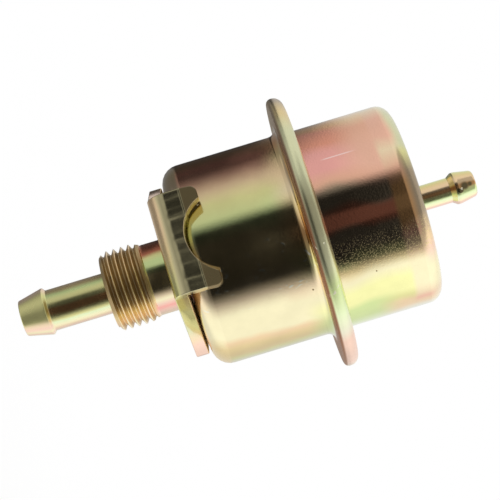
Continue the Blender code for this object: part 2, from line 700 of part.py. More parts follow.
def make_valve_ball():
    """Steel ball with a ground flat, which rests on the valve plate."""
    flat_deg = math.degrees(math.asin((BALL_FLAT - BALL_HEIGHT) / BALL_RADIUS))
    profile = [(0.0, BALL_FLAT)] + arc(0.0, BALL_HEIGHT, BALL_RADIUS, flat_deg, 90, BALL_PARTS)
    profile[-1] = (0.0, BALL_TOP)
    return turned("valve_ball", profile, plain_steel(), FINE_STEPS)


def make_valve_plate():
    profile = [
        (0.0, VALVE_PLATE_BOTTOM),
        (VALVE_PLATE_RADIUS - EDGE_BREAK, VALVE_PLATE_BOTTOM),
        (VALVE_PLATE_RADIUS, VALVE_PLATE_BOTTOM + EDGE_BREAK),
        (VALVE_PLATE_RADIUS, VALVE_PLATE_TOP),
        (0.0, VALVE_PLATE_TOP),
    ]
    return turned("valve_plate", profile, plain_steel(), FINE_STEPS)


def make_valve_seat():
    """Turned insert pressed in the return tube's inner end, with a raised sealing nose."""
    head_bottom = TUBE_INNER_HEIGHT + PIECE_GAP
    head_top = SEAT_TOP - SEAT_NOSE_HEIGHT
    profile = [
        (SEAT_BORE_RADIUS, head_bottom - SEAT_STEM_LENGTH),
        (SEAT_STEM_RADIUS, head_bottom - SEAT_STEM_LENGTH),
        (SEAT_STEM_RADIUS, head_bottom),
        (TUBE_RADIUS, head_bottom),
        (TUBE_RADIUS, head_top),
        (SEAT_NOSE_RADIUS, head_top),
        (SEAT_NOSE_RADIUS - EDGE_BREAK, SEAT_TOP),
        (SEAT_BORE_RADIUS, SEAT_TOP),
    ]
    return turned("valve_seat", profile, brass())


def make_main_spring():
    bottom = UPPER_PLATE_BOTTOM + PLATE_SHEET + PIECE_GAP
    top = UPPER_CEILING - PIECE_GAP - CAP_SHEET - PIECE_GAP
    return coil(
        "main_spring",
        SPRING_RADIUS,
        SPRING_WIRE,
        bottom,
        top,
        SPRING_TURNS,
        SPRING_DEAD_TURNS,
        plain_steel(),
        WIRE_SIDES,
        WIRE_STEPS,
    )


def make_spring_cap():
    """Pressed ring under the end of the can, with a collar that centres the spring."""
    top = UPPER_CEILING - PIECE_GAP
    collar_outer = SPRING_RADIUS - SPRING_WIRE / 2 - 2 * PIECE_GAP
    collar_inner = collar_outer - CAP_SHEET
    profile = [
        (collar_inner, top - CAP_SHEET - CAP_COLLAR_HEIGHT),
        (collar_outer, top - CAP_SHEET - CAP_COLLAR_HEIGHT),
        (collar_outer, top - CAP_SHEET),
        (CAP_RADIUS, top - CAP_SHEET),
        (CAP_RADIUS, top),
        (collar_inner + EDGE_BREAK, top),
        (collar_inner, top - EDGE_BREAK),
    ]
    return turned("spring_cap", profile, plain_steel())


def main():
    for old in list(bpy.data.objects):
        bpy.data.objects.remove(old)
    make_return_tube()
    make_threaded_stub()
    make_bracket()
    make_lower_can()
    make_upper_can()
    make_inlet_tube()
    make_inlet_collar()
    make_vacuum_nipple()
    make_diaphragm()
    make_upper_plate()
    make_lower_plate()
    make_valve_holder()
    make_ball_retainer()
    make_ball_spring()
    make_valve_ball()
    make_valve_plate()
    make_valve_seat()
    make_main_spring()
    make_spring_cap()


main()
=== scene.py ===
# %% [markdown]
# # A fuel pressure regulator in yellow-passivated zinc
#
# The regulator is a round steel can in two deep-drawn halves, crimped together at a wide rim. A hose
# nipple stands on one end. On the other end a threaded stub holds a folded bracket, and a return tube
# with a hose barb comes out of it. Every outer surface has the same finish: zinc with a yellow
# passivation, a thin film that shows gold, green and pink like oil on water.
#
# The packed CAD model is the fixed frame. This script makes each outer piece again with finer edges,
# gives every piece its finish, and sets up the light and the camera.

# %% Load the frame
import json
import math

import bmesh
import bpy
from mathutils import Matrix, Vector


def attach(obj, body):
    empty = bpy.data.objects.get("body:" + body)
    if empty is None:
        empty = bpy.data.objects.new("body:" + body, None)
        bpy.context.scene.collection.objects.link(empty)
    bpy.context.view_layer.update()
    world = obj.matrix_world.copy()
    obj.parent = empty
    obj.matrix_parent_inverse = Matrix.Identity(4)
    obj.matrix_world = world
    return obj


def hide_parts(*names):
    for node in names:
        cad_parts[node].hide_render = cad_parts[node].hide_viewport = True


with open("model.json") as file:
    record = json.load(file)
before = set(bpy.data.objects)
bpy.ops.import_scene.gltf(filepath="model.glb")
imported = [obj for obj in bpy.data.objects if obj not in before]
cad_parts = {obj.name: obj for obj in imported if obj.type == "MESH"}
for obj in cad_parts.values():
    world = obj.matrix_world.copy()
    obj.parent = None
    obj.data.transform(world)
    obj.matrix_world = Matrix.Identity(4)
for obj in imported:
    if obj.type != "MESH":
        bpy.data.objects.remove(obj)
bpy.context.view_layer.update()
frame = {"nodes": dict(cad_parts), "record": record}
MM = 0.001
print("CAD nodes:", ", ".join(sorted(frame["nodes"])))

# %% [markdown]
# ## Where the camera stands
#
# The turning axis of the regulator is Z. The camera looks square at that axis, 13.5 degrees round
# from the flap of the bracket. Two directions are used again and again below: FRONT points from the
# axis to the camera, and SIDE points across, to what is the lower edge of the picture.

# %% Directions
CAMERA_TURN_DEG = 13.5
turn = math.radians(CAMERA_TURN_DEG)
FRONT = Vector((math.sin(turn), -math.cos(turn), 0.0))
SIDE = Vector((math.cos(turn), math.sin(turn), 0.0))
AXIS = Vector((0.0, 0.0, 1.0))
print("front", FRONT, "side", SIDE)

# %% [markdown]
# ## Shader maths as Python sums
#
# Node trees grow large when each sum is a node made by hand. One small class wraps a socket, so that
# `1 - mask * 0.5` adds its Math nodes by itself. Colours never go through Math nodes, which would turn
# them grey: they have a method of their own.

# %% The socket class
class Value:
    """A socket of a node tree that takes part in Python sums."""

    def __init__(self, tree, socket=None):
        self.tree = tree
        self.socket = socket

    def node(self, kind, settings=None, inputs=None, output=0):
        """Adds a node of a kind: its settings first, then the values or links of its sockets."""
        made = self.tree.nodes.new(kind)
        for name, setting in (settings or {}).items():
            if name == "stops":
                set_stops(made.color_ramp, setting)
            else:
                setattr(made, name, setting)
        for name, value in (inputs or {}).items():
            if isinstance(value, Value):
                self.tree.links.new(value.socket, made.inputs[name])
            else:
                made.inputs[name].default_value = value
        return Value(self.tree, made.outputs[output])

    def maths(self, operation, *values):
        """A Math node over some values, this one among them."""
        return self.node("ShaderNodeMath", {"operation": operation}, dict(enumerate(values)))

    def size(self):
        """This value without its sign."""
        return self.maths("ABSOLUTE", self)

    def larger(self, other):
        """The larger of this value and another."""
        return self.maths("MAXIMUM", self, other)

    def __add__(self, other):
        return self.maths("ADD", self, other)

    def __radd__(self, other):
        return self.maths("ADD", other, self)

    def __sub__(self, other):
        return self.maths("SUBTRACT", self, other)

    def __rsub__(self, other):
        return self.maths("SUBTRACT", other, self)

    def __mul__(self, other):
        return self.maths("MULTIPLY", self, other)

    def __truediv__(self, other):
        return self.maths("DIVIDE", self, other)

    def along(self, direction):
        """How far a vector reaches along a direction."""
        settings = {"operation": "DOT_PRODUCT"}
        return self.node("ShaderNodeVectorMath", settings, {0: self, 1: tuple(direction)}, "Value")

    def scaled(self, *shares):
        """A vector with each of its parts times a share, such as 0 for the part along an axis."""
        return self.node("ShaderNodeVectorMath", {"operation": "MULTIPLY"}, {0: self, 1: shares})

    def away_from(self, point):
        """How far a vector's end is from a point."""
        settings = {"operation": "DISTANCE"}
        return self.node("ShaderNodeVectorMath", settings, {0: self, 1: point}, "Value")

    def noise(self, scale, detail):
        """Cloudy noise from 0 to 1 over a vector."""
        return self.node("ShaderNodeTexNoise", {}, {"Vector": self, "Scale": scale, "Detail": detail})

    def band(self, low, high, start=0.0, end=1.0):
        """Rises smoothly from start to end while this value goes from low to high."""
        settings = {"interpolation_type": "SMOOTHSTEP"}
        inputs = {"Value": self, "From Min": low, "From Max": high, "To Min": start, "To Max": end}
        return self.node("ShaderNodeMapRange", settings, inputs)

    def mix(self, first, second):
        """Goes from the first colour to the second with this value."""
        settings = {"data_type": "RGBA"}
        return self.node("ShaderNodeMix", settings, {0: self, 6: first, 7: second}, 2)

    def tinted(self, colour):
        """This colour with another multiplied over it."""
        settings = {"data_type": "RGBA", "blend_type": "MULTIPLY"}
        return self.node("ShaderNodeMix", settings, {0: 1.0, 6: self, 7: colour}, 2)


def set_stops(ramp, stops):
    """Gives a colour ramp its stops, each a place and a linear colour."""
    while len(ramp.elements) > 1:
        ramp.elements.remove(ramp.elements[-1])
    ramp.elements[0].position = stops[0][0]
    ramp.elements[0].color = (*stops[0][1], 1.0)
    for place, colour in stops[1:]:
        ramp.elements.new(place).color = (*colour, 1.0)


print("sums a socket can do:", ", ".join(name for name in vars(Value) if not name.startswith("_")))

# %% [markdown]
# ## The colours of the passivation
#
# The film is a few hundred nanometres thick, and its thickness sets its colour. On a drawn can it
# follows the strokes of the draw, so the colours lie in soft stripes along the axis. A ramp over the
# angle round the axis gives those stripes, noise lets them wander, and a second ramp near one end of
# the piece lets them change along it. The colours are linear, and most are bright, as metal colours
# have to be: the dark parts in a photograph are what the metal mirrors. The umbers, dark browns and
# near-blacks are the exception: they are painted shade and painted dark reflection, put where a piece
# lies in shade or mirrors the dark gap at the camera.

# %% Named tints
CREAM = (0.98, 0.90, 0.58)
LEMON = (0.99, 0.97, 0.46)
GOLD = (0.90, 0.71, 0.36)
SAND = (0.95, 0.76, 0.50)
PEACH = (0.95, 0.70, 0.42)
SALMON = (0.90, 0.50, 0.34)
PINK = (0.96, 0.46, 0.40)
PAINTED_HIGHLIGHT_PINK = (1.0, 0.70, 0.64)
CLAY = (0.95, 0.55, 0.40)
HONEY = (0.88, 0.50, 0.22)
CORAL = (0.93, 0.40, 0.27)
UMBER = (0.42, 0.33, 0.22)
ROSE = (0.96, 0.68, 0.54)
OLIVE = (0.84, 0.80, 0.36)
GREEN = (0.72, 0.84, 0.38)
MINT = (0.84, 0.94, 0.58)
PALE = (0.90, 0.86, 0.66)
BROWN = (0.72, 0.39, 0.16)
RUST = (0.74, 0.26, 0.15)
RUST_BROWN = (0.42, 0.20, 0.11)
DARK_BROWN = (0.36, 0.27, 0.13)
GROOVE_SHADE_BROWN = (0.52, 0.38, 0.19)
DARK = (0.18, 0.14, 0.07)
SMOKE = (0.58, 0.52, 0.30)
GREY_GREEN = (0.80, 0.80, 0.50)
OLIVE_GREY = (0.55, 0.52, 0.31)


def around(*tints):
    """Ramp stops from angles in degrees, seen from the camera: -90 is the picture's upper edge."""
    return [((angle + 180.0) / 360.0, colour) for angle, colour in tints]


def turn_angle(place):
    """The angle round the axis, from 0 to 1, with its seam at the far side of the camera."""
    across = place.along(SIDE)
    return across.maths("ARCTAN2", across, place.along(FRONT)) / math.tau + 0.5


def camera_angle(place):
    """The angle round the axis in degrees, 0 toward the camera, as in the stripes."""
    return turn_angle(place) * 360.0 - 180.0


def axis_distance(place):
    """How far a place is from the axis, in metres."""
    return place.scaled(1.0, 1.0, 0.0).away_from((0.0, 0.0, 0.0))


def spot_on(radius, angle_deg, height):
    """A point at a radius and a height, at an angle as the camera sees it."""
    angle = math.radians(angle_deg)
    return tuple(FRONT * radius * math.cos(angle) + SIDE * radius * math.sin(angle) + AXIS * height)


print("a spot 27 mm out, at 5 degrees:", spot_on(27.0 * MM, 5.0, 0.0))

# %% [markdown]
# ## One zinc finish for all the pieces
#
# All the zinc pieces share one recipe, and differ in their stripes and in how they were made. Drawn
# sheet is wavy by a few hundredths of a millimetre and has a fine grain. Turned steel has tool marks
# round the axis. Both are bumps, because they bend the mirrored light and nothing else. A zone is a
# part of a piece with stripes and a gloss of its own, such as the rolled rim; some zones are painted
# shade. A mark is a small place with its own tint and depth: a pit, a nick, a scratch or a dark spot,
# and also a painted glint, painted glinting grains or a painted highlight line.

# %% The zinc recipe
WIDE_WANDER = 0.05
FINE_WANDER = 0.014
WAVE_DEPTH = 0.03 * MM
GRAIN_DEPTH = 0.003 * MM
LATHE_SCALE = 5200.0


def new_material(name):
    """A material with its node tree and its shader."""
    material = bpy.data.materials.new(name)
    material.use_nodes = True
    return material, material.node_tree, material.node_tree.nodes["Principled BSDF"]


def zinc_finish(name, stripes, zones=(), marks=(), roughness=0.17, lathe=0.0, waves=1.0, grain=1.0,
                relief_of=None):
    """A passivated zinc material: stripes round the axis, its zones and marks, and its relief."""
    material, tree, shader = new_material(name)
    start = Value(tree)
    place = start.node("ShaderNodeTexCoord", output="Object")
    cloud = place.noise(60.0, 2.0)
    patch = place.noise(170.0, 3.0)
    angle = turn_angle(place) + (cloud - 0.5) * WIDE_WANDER + (patch - 0.5) * FINE_WANDER
    colour = start.node("ShaderNodeValToRGB", {"stops": stripes}, {"Fac": angle})
    rough = patch.band(0.25, 0.8, roughness * 0.8, roughness * 1.25)
    for mask_of, zone_stripes, zone_roughness in zones:
        mask = mask_of(place, cloud)
        other = start.node("ShaderNodeValToRGB", {"stops": zone_stripes}, {"Fac": angle})
        colour = mask.mix(colour, other)
        rough = rough + mask * (zone_roughness - roughness)
    shade = patch.band(0.3, 0.75, 0.93, 1.0)
    colour = colour.tinted(shade.node("ShaderNodeCombineColor", {}, {0: shade, 1: shade, 2: shade}))
    relief = place.noise(90.0, 1.0) * (WAVE_DEPTH * waves)
    relief = relief + place.noise(2400.0, 2.0) * (GRAIN_DEPTH * grain)
    if lathe:
        inputs = {"W": place.along(AXIS), "Scale": LATHE_SCALE}
        relief = relief + start.node("ShaderNodeTexNoise", {"noise_dimensions": "1D"}, inputs) * lathe
    if relief_of:
        relief = relief + relief_of(place)
    for mask_of, tint, height in marks:
        mark = mask_of(place)
        relief = relief + mark * height
        colour = mark.mix(colour, (*tint, 1.0))
    bump = start.node("ShaderNodeBump", {}, {"Height": relief, "Distance": 1.0, "Strength": 1.0}, "Normal")
    tree.links.new(bump.socket, shader.inputs["Normal"])
    tree.links.new(rough.socket, shader.inputs["Roughness"])
    tree.links.new(colour.socket, shader.inputs["Base Color"])
    shader.inputs["Metallic"].default_value = 1.0
    return material


print(f"relief: waves of {WAVE_DEPTH / MM} mm and a grain of {GRAIN_DEPTH / MM} mm, in shares of each")


# %% Marks and zones
def pit_or_painted_spot(radius, angle_deg, height, size, tint, rise):
    """A mark: a small round spot with a tint and a relief, either a real pit or nick or a painted glint or
    dark spot. All but the angle is in millimetres.
    """
    where = spot_on(radius * MM, angle_deg, height * MM)
    return lambda place: place.away_from(where).band(size * MM, size * 0.4 * MM), tint, rise * MM


def painted_highlight_line(angle_deg, half_width_deg, low, high):
    """A mask for a painted highlight: 1 on a fine line along the axis, at an angle as the camera sees it.
    """
    def mask(place):
        off = (turn_angle(place) * 360.0 - (180.0 + angle_deg)).size()
        height = place.along(AXIS)
        run = height.band(low, low + 1.5 * MM) * height.band(high, high - 2.5 * MM)
        return off.band(half_width_deg, half_width_deg * 0.3) * run
    return mask


def above_height(low, high, wander=6.0 * MM):
    """A zone past a height, with a border that wanders. It lies below instead where low is above high."""
    return lambda place, cloud: (place.along(AXIS) + (cloud - 0.5) * wander).band(low, high)


def past_radius(low, high):
    """A zone further from the axis than a radius."""
    return lambda place, cloud: axis_distance(place).band(low, high)


def shade_under_rim(place, cloud):
    """A zone: the underside of the rim, made dull and painted darker brown as shade under the rim."""
    return place.along(AXIS).band(27.75 * MM, 27.3 * MM) * axis_distance(place).band(20.9 * MM, 21.4 * MM)


def scratches(place):
    """A mask of thin short scratches: the ridges of stretched noise, only where a wider noise is high."""
    inputs = {"Vector": place, "Rotation": (0.3, 0.5, 0.9), "Scale": (500.0, 3000.0, 1000.0)}
    lines = place.node("ShaderNodeMapping", {}, inputs).noise(1.0, 0.0)
    where = place.noise(210.0, 0.0)
    angle = camera_angle(place)
    dark_band = angle.band(-12.0, 4.0) * angle.band(34.0, 24.0)
    return lines.band(0.63, 0.70) * where.band(0.50, 0.60) * dark_band


def glint_speckles(place):
    """A mask of grains, bumped and painted gold as glints, on the side where the dark band of the upper can
    ends.
    """
    grains = place.noise(3600.0, 1.0)
    angle = camera_angle(place)
    return grains.band(0.56, 0.66) * angle.band(6.0, 14.0) * angle.band(32.0, 25.0)


print("tint and rise of a dark pit:", pit_or_painted_spot(20.0, 0.0, 10.0, 0.2, DARK, -0.06)[1:])

# %% [markdown]
# ## Turned and drawn pieces
#
# A lathe and a drawing press both make shapes of revolution, so each of these pieces is a profile spun
# round the axis. A profile is given by its corners, each with the radius it is rounded to. The bevel
# operator rounds the corners of the wire before the spin, so there is no arc arithmetic.
#
# A long straight wall is one ring of faces between two roundings. Plain smooth shading would lean the
# normals of the whole wall toward both roundings, and a mirror finish shows that at once. Each piece
# therefore weights its normals by face area, which keeps straight walls straight.

# %% Profiles that spin
ROUND_STEPS = 192
CORNER_SEGMENTS = 6


def wire_profile(bm, corners, closed):
    """A wire of (radius, height, rounding) corners in the XZ plane, its corners rounded by bevels."""
    verts = [bm.verts.new((radius, 0.0, height)) for radius, height, _ in corners]
    pairs = list(zip(verts, verts[1:]))
    if closed:
        pairs.append((verts[-1], verts[0]))
    for pair in pairs:
        bm.edges.new(pair)
    for vert, (_, _, rounding) in zip(verts, corners):
        if rounding > 0.0:
            round_corner(bm, vert, rounding)


def bevel(bm, geom, offset, segments, affect="VERTICES"):
    """Rounds corners, or edges, from a distance on each side of them."""
    bmesh.ops.bevel(
        bm,
        geom=geom,
        offset=offset,
        offset_type="OFFSET",
        segments=segments,
        profile=0.5,
        affect=affect,
        material=-1,
    )


def round_corner(bm, vert, rounding):
    """Rounds one corner of a wire to a radius."""
    arms = [edge.other_vert(vert).co - vert.co for edge in vert.link_edges]
    bend = math.pi - arms[0].angle(arms[1])
    bevel(bm, [vert], rounding * math.tan(bend / 2), CORNER_SEGMENTS)


def spin_full(bm, steps):
    """Spins all of a bmesh once round the axis and joins the ends."""
    bmesh.ops.spin(
        bm,
        geom=bm.verts[:] + bm.edges[:],
        cent=(0.0, 0.0, 0.0),
        axis=AXIS,
        angle=math.tau,
        steps=steps,
        use_merge=True,
    )
    bmesh.ops.remove_doubles(bm, verts=bm.verts, dist=1e-7)


def finished(name, bm, material, sharp_deg=35.0):
    """Turns a bmesh into an object at the origin, smooth but for its sharp edges."""
    mesh = bpy.data.meshes.new(name)
    bm.to_mesh(mesh)
    bm.free()
    mesh.shade_smooth()
    mesh.set_sharp_from_angle(angle=math.radians(sharp_deg))
    mesh.materials.append(material)
    piece = bpy.data.objects.new(name, mesh)
    bpy.context.scene.collection.objects.link(piece)
    piece.modifiers.new("even shading", "WEIGHTED_NORMAL").keep_sharp = True
    low = Vector([min(v.co[i] for v in mesh.vertices) for i in range(3)]) / MM
    high = Vector([max(v.co[i] for v in mesh.vertices) for i in range(3)]) / MM
    size = " x ".join(f"{side:.1f}" for side in high - low)
    print(f"{name}: {len(mesh.polygons)} faces, {size} mm, from z {low.z:.1f} to {high.z:.1f}")
    return piece


def turned_piece(name, corners, material, steps=ROUND_STEPS, turned_by=None):
    """A solid turned from a closed profile, which may then be laid along another axis."""
    bm = bmesh.new()
    wire_profile(bm, corners, closed=True)
    spin_full(bm, steps)
    bmesh.ops.recalc_face_normals(bm, faces=bm.faces)
    if turned_by:
        bmesh.ops.transform(bm, matrix=turned_by, verts=bm.verts)
    return finished(name, bm, material)


print(ROUND_STEPS, "faces round a piece and", CORNER_SEGMENTS, "in each rounded corner")

# %% [markdown]
# ## The lower can
#
# The lower can is drawn from 0.7 mm sheet. Its wall runs out into a flange, and the edge of that flange
# is rolled over the other half's flange, which makes the rounded rim and its sloping lip. The outer
# face of the sheet is spun as an open surface, and solidify then gives the sheet its thickness inwards.

# %% Lower can sizes
LOWER_RADIUS = 20.15 * MM
LOWER_END = 3.05 * MM
LOWER_CORNER = 3.7 * MM
LOWER_SHEET = 0.7 * MM
LOWER_FILLET = 1.5 * MM
RIM_BOTTOM = 27.05 * MM
RIM_TOP = 30.0 * MM
RIM_RADIUS = 27.25 * MM
RIM_ROUND = 1.8 * MM
RIM_UNDER_ROUND = 1.0 * MM
LIP_END_RADIUS = 20.45 * MM
LIP_RISE = 0.5 * MM
STUB_HOLE_RADIUS = 7.35 * MM
TUBE_RADIUS = 4.1 * MM
PIECE_GAP = 0.15 * MM
INLET_HEIGHT = 13.05 * MM


def sheet_piece(name, corners, thickness, material):
    """A drawn sheet: its outer face spun from an open profile, and its wall grown inwards."""
    bm = bmesh.new()
    wire_profile(bm, corners, closed=False)
    spin_full(bm, ROUND_STEPS)
    bmesh.ops.recalc_face_normals(bm, faces=bm.faces)
    outermost = max(bm.faces, key=lambda face: face.calc_center_median().to_2d().length)
    outwards = outermost.calc_center_median().to_2d().to_3d()
    if outermost.normal.dot(outwards) < 0.0:
        bmesh.ops.reverse_faces(bm, faces=bm.faces)
    bmesh.ops.solidify(bm, geom=bm.faces[:], thickness=thickness)
    bmesh.ops.recalc_face_normals(bm, faces=bm.faces)
    return finished(name, bm, material)


def punch(piece, radius, start, end):
    """Cuts a round hole through a piece, from one point to another."""
    bm = bmesh.new()
    run = Vector(end) - Vector(start)
    middle = Matrix.Translation((Vector(start) + Vector(end)) / 2)
    stand = middle @ run.to_track_quat("Z", "Y").to_matrix().to_4x4()
    bmesh.ops.create_cone(
        bm, cap_ends=True, segments=96, radius1=radius, radius2=radius, depth=run.length, matrix=stand
    )
    tool = finished(piece.name + "_punch", bm, piece.data.materials[0])
    hole = piece.modifiers.new("hole", "BOOLEAN")
    hole.operation = "DIFFERENCE"
    hole.solver = "EXACT"
    hole.object = tool
    graph = bpy.context.evaluated_depsgraph_get()
    cut_mesh = bpy.data.meshes.new_from_object(piece.evaluated_get(graph))
    piece.modifiers.remove(hole)
    piece.data = cut_mesh
    piece.data.name = piece.name
    bpy.data.objects.remove(tool)


print(f"lower can: {2 * LOWER_RADIUS / MM:.1f} mm across, its rim {2 * RIM_RADIUS / MM:.1f} mm")


# %% Lower can finish and shape
# Painted shade: the browns and umbers from about -120 to -66 degrees, toward the picture's upper edge,
# darken the can, its rim and its end there.
LOWER_STRIPES = around(
    (-180, PALE), (-150, GOLD), (-120, GREEN), (-100, OLIVE), (-86, BROWN), (-72, BROWN), (-60, CORAL),
    (-49, SALMON), (-40, PEACH), (-31, OLIVE), (-16, GREEN), (-6, GOLD), (12, GOLD), (26, SAND),
    (34, CREAM), (49, CREAM), (54, PEACH), (60, GOLD), (67, GOLD), (72, OLIVE), (79, GREY_GREEN),
    (95, GOLD), (120, PINK), (150, GREEN), (180, PALE),
)
NEAR_RIM_STRIPES = around(
    (-180, GOLD), (-120, OLIVE), (-86, BROWN), (-66, BROWN), (-50, GOLD), (-38, PEACH), (-26, SAND),
    (-14, GOLD), (0, BROWN), (14, OLIVE), (26, SAND), (36, CREAM), (46, LEMON), (55, GREEN), (70, GREEN),
    (80, PALE), (120, GREEN), (180, GOLD),
)
END_STRIPES = around(
    (-180, GOLD), (-120, DARK_BROWN), (-66, DARK_BROWN), (-50, UMBER), (-38, OLIVE), (-16, GREEN),
    (0, GOLD), (20, SAND), (34, CREAM), (49, CREAM), (60, GOLD), (180, GOLD),
)
# Painted shade under the rim: umber and a dark red-brown.
UNDER_RIM_SHADE_STRIPES = around((-180, UMBER), (-60, UMBER), (0, RUST_BROWN), (40, RUST_BROWN), (180, UMBER))
RIM_STRIPES = around(
    (-180, GOLD), (-120, OLIVE), (-88, UMBER), (-74, UMBER), (-60, GOLD), (-46, GREY_GREEN),
    (-22, GREY_GREEN), (-10, OLIVE_GREY), (2, OLIVE_GREY), (12, GREY_GREEN), (24, GREEN), (34, MINT),
    (44, PALE), (52, ROSE), (70, ROSE), (84, PALE), (120, GREEN), (180, GOLD),
)
lower_zinc = zinc_finish(
    "drawn_zinc_lower",
    LOWER_STRIPES,
    zones=(
        (above_height(21.0 * MM, 27.0 * MM), NEAR_RIM_STRIPES, 0.12),
        (above_height(7.0 * MM, 5.8 * MM, 1.0 * MM), END_STRIPES, 0.22),
        (past_radius(21.4 * MM, 22.4 * MM), RIM_STRIPES, 0.32),
        (shade_under_rim, UNDER_RIM_SHADE_STRIPES, 0.3),
    ),
    marks=(
        (scratches, PALE, 0.003 * MM),
        # Two painted glints on the rim's upper edge: pale spots over small dents.
        pit_or_painted_spot(27.0, 4.0, 29.8, 0.35, PALE, -0.10),
        pit_or_painted_spot(27.2, 5.6, 29.1, 0.30, PALE, -0.08),
        pit_or_painted_spot(20.15, 31.0, 25.0, 0.22, DARK_BROWN, -0.08),
        pit_or_painted_spot(20.15, -33.0, 9.0, 0.22, DARK_BROWN, -0.06),
    ),
    grain=1.6,
    roughness=0.11,
)
lower_can = sheet_piece(
    "lower_can_drawn",
    [
        (STUB_HOLE_RADIUS, LOWER_END, 0.0),
        (LOWER_RADIUS, LOWER_END, LOWER_CORNER),
        (LOWER_RADIUS, RIM_BOTTOM, LOWER_FILLET),
        (RIM_RADIUS, RIM_BOTTOM, RIM_UNDER_ROUND),
        (RIM_RADIUS, RIM_TOP - 0.05 * MM, RIM_ROUND),
        (LIP_END_RADIUS, RIM_TOP + LIP_RISE, 0.0),
    ],
    LOWER_SHEET,
    lower_zinc,
)
hole_start = (0, LOWER_RADIUS / 2, INLET_HEIGHT)
hole_end = (0, LOWER_RADIUS * 1.1, INLET_HEIGHT)
punch(lower_can, TUBE_RADIUS + PIECE_GAP, hole_start, hole_end)
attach(lower_can, "housing")
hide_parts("lower_can")

# %% [markdown]
# ## The upper can
#
# The upper can holds the big spring. Its flange lies inside the rolled rim, and its end has a hole in
# the middle for the vacuum nipple. It is the other half of the same drawn shape, so it is made the same
# way, but its film is pinker.

# %% Upper can
UPPER_RADIUS = 20.0 * MM
UPPER_END = 49.45 * MM
UPPER_CORNER = 2.8 * MM
UPPER_SHEET = 0.7 * MM
UPPER_FILLET = 0.6 * MM
UPPER_FLANGE_TOP = 29.15 * MM
CLAMP_RADIUS = 25.45 * MM
STEM_RADIUS = 2.52 * MM
# Painted dark reflection: the umber and rust from about -16 to 16 degrees darken the band where the can
# mirrors the dark gap. FAR_STRIPES and UPPER_END_STRIPES do the same with brown and umber.
UPPER_MIDDLE = (
    (-20, SALMON), (-15, UMBER), (-9, UMBER), (-5, RUST), (2, RUST), (6, UMBER), (16, UMBER),
    (22, OLIVE), (27, GOLD), (33, CREAM), (41, LEMON),
)
UPPER_STRIPES = around(
    (-180, GREEN), (-140, GOLD), (-110, PINK), (-88, SAND), (-80, HONEY), (-70, HONEY), (-62, CORAL),
    (-48, CORAL), (-40, PINK), (-28, PINK), *UPPER_MIDDLE, (49, LEMON), (55, GREEN), (66, GREEN),
    (78, MINT), (88, PALE), (110, GREEN), (145, PEACH), (180, GREEN),
)
MID_STRIPES = around(
    (-180, GREEN), (-140, GOLD), (-110, PINK), (-88, SAND), (-70, PEACH), (-56, SALMON), (-40, CLAY),
    (-28, CLAY), *UPPER_MIDDLE, (51, LEMON), (57, OLIVE), (63, PEACH), (72, PEACH), (82, PALE),
    (110, GREEN), (145, PEACH), (180, GREEN),
)
FAR_STRIPES = around(
    (-180, GREEN), (-140, GOLD), (-110, PINK), (-88, PALE), (-72, SAND), (-58, CLAY), (-44, CLAY),
    (-34, SAND), (-20, SALMON), (-12, BROWN), (8, BROWN), (16, SALMON), (22, PEACH), (28, PEACH),
    (34, CREAM), (50, CREAM), (58, SAND), (64, CLAY), (72, PEACH), (80, PALE), (110, GREEN),
    (145, PEACH), (180, GREEN),
)
UPPER_END_STRIPES = around(
    (-180, GREEN), (-140, OLIVE), (-110, GOLD), (-88, PALE), (-62, GREY_GREEN), (-36, GREY_GREEN),
    (-30, OLIVE), (-16, UMBER), (8, UMBER), (22, PEACH), (30, ROSE), (40, CREAM), (52, CREAM), (60, SAND),
    (70, SAND), (80, PALE), (120, GREEN), (180, GREEN),
)
upper_zinc = zinc_finish(
    "drawn_zinc_upper",
    UPPER_STRIPES,
    zones=(
        (above_height(35.5 * MM, 42.0 * MM), MID_STRIPES, 0.10),
        (above_height(43.2 * MM, 44.4 * MM, 2.0 * MM), FAR_STRIPES, 0.14),
        (above_height(46.4 * MM, 48.4 * MM, 2.0 * MM), UPPER_END_STRIPES, 0.2),
    ),
    marks=(
        # A painted highlight: a thin pink line along the can, with a faint ridge.
        (painted_highlight_line(-38.0, 0.6, 33.0 * MM, 40.5 * MM), PAINTED_HIGHLIGHT_PINK, 0.002 * MM),
        # Painted glints: gold grains at the edge of the mirrored dark band.
        (glint_speckles, GOLD, 0.005 * MM),
        pit_or_painted_spot(20.0, 31.5, 37.3, 0.20, DARK_BROWN, -0.06),
    ),
    grain=2.0,
    roughness=0.10,
)
upper_can = sheet_piece(
    "upper_can_drawn",
    [
        (CLAMP_RADIUS, UPPER_FLANGE_TOP, 0.0),
        (UPPER_RADIUS, UPPER_FLANGE_TOP, UPPER_FILLET),
        (UPPER_RADIUS, UPPER_END, UPPER_CORNER),
        (STEM_RADIUS + PIECE_GAP, UPPER_END, 0.0),
    ],
    UPPER_SHEET,
    upper_zinc,
)
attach(upper_can, "housing")
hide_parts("upper_can")

# %% [markdown]
# ## The return tube and the inlet
#
# Both hose tubes have one barb: a short cone with a rounded crest, which a hose is pushed over and
# clamped behind. The same corners serve both. The inlet's profile is spun round Z like the others and
# then laid along Y, into the side of the lower can.

# %% Hose tubes
TUBE_BORE_RADIUS = 2.8 * MM
TUBE_BOTTOM = -30.65 * MM
TUBE_INNER_END = 15.95 * MM
BARB_RADIUS = 4.75 * MM
BARB_TIP_RADIUS = 3.55 * MM
BARB_LENGTH = 5.1 * MM
BARB_STEP = 0.55 * MM
INLET_REACH = 42.0 * MM
INLET_INNER_END = 17.63 * MM


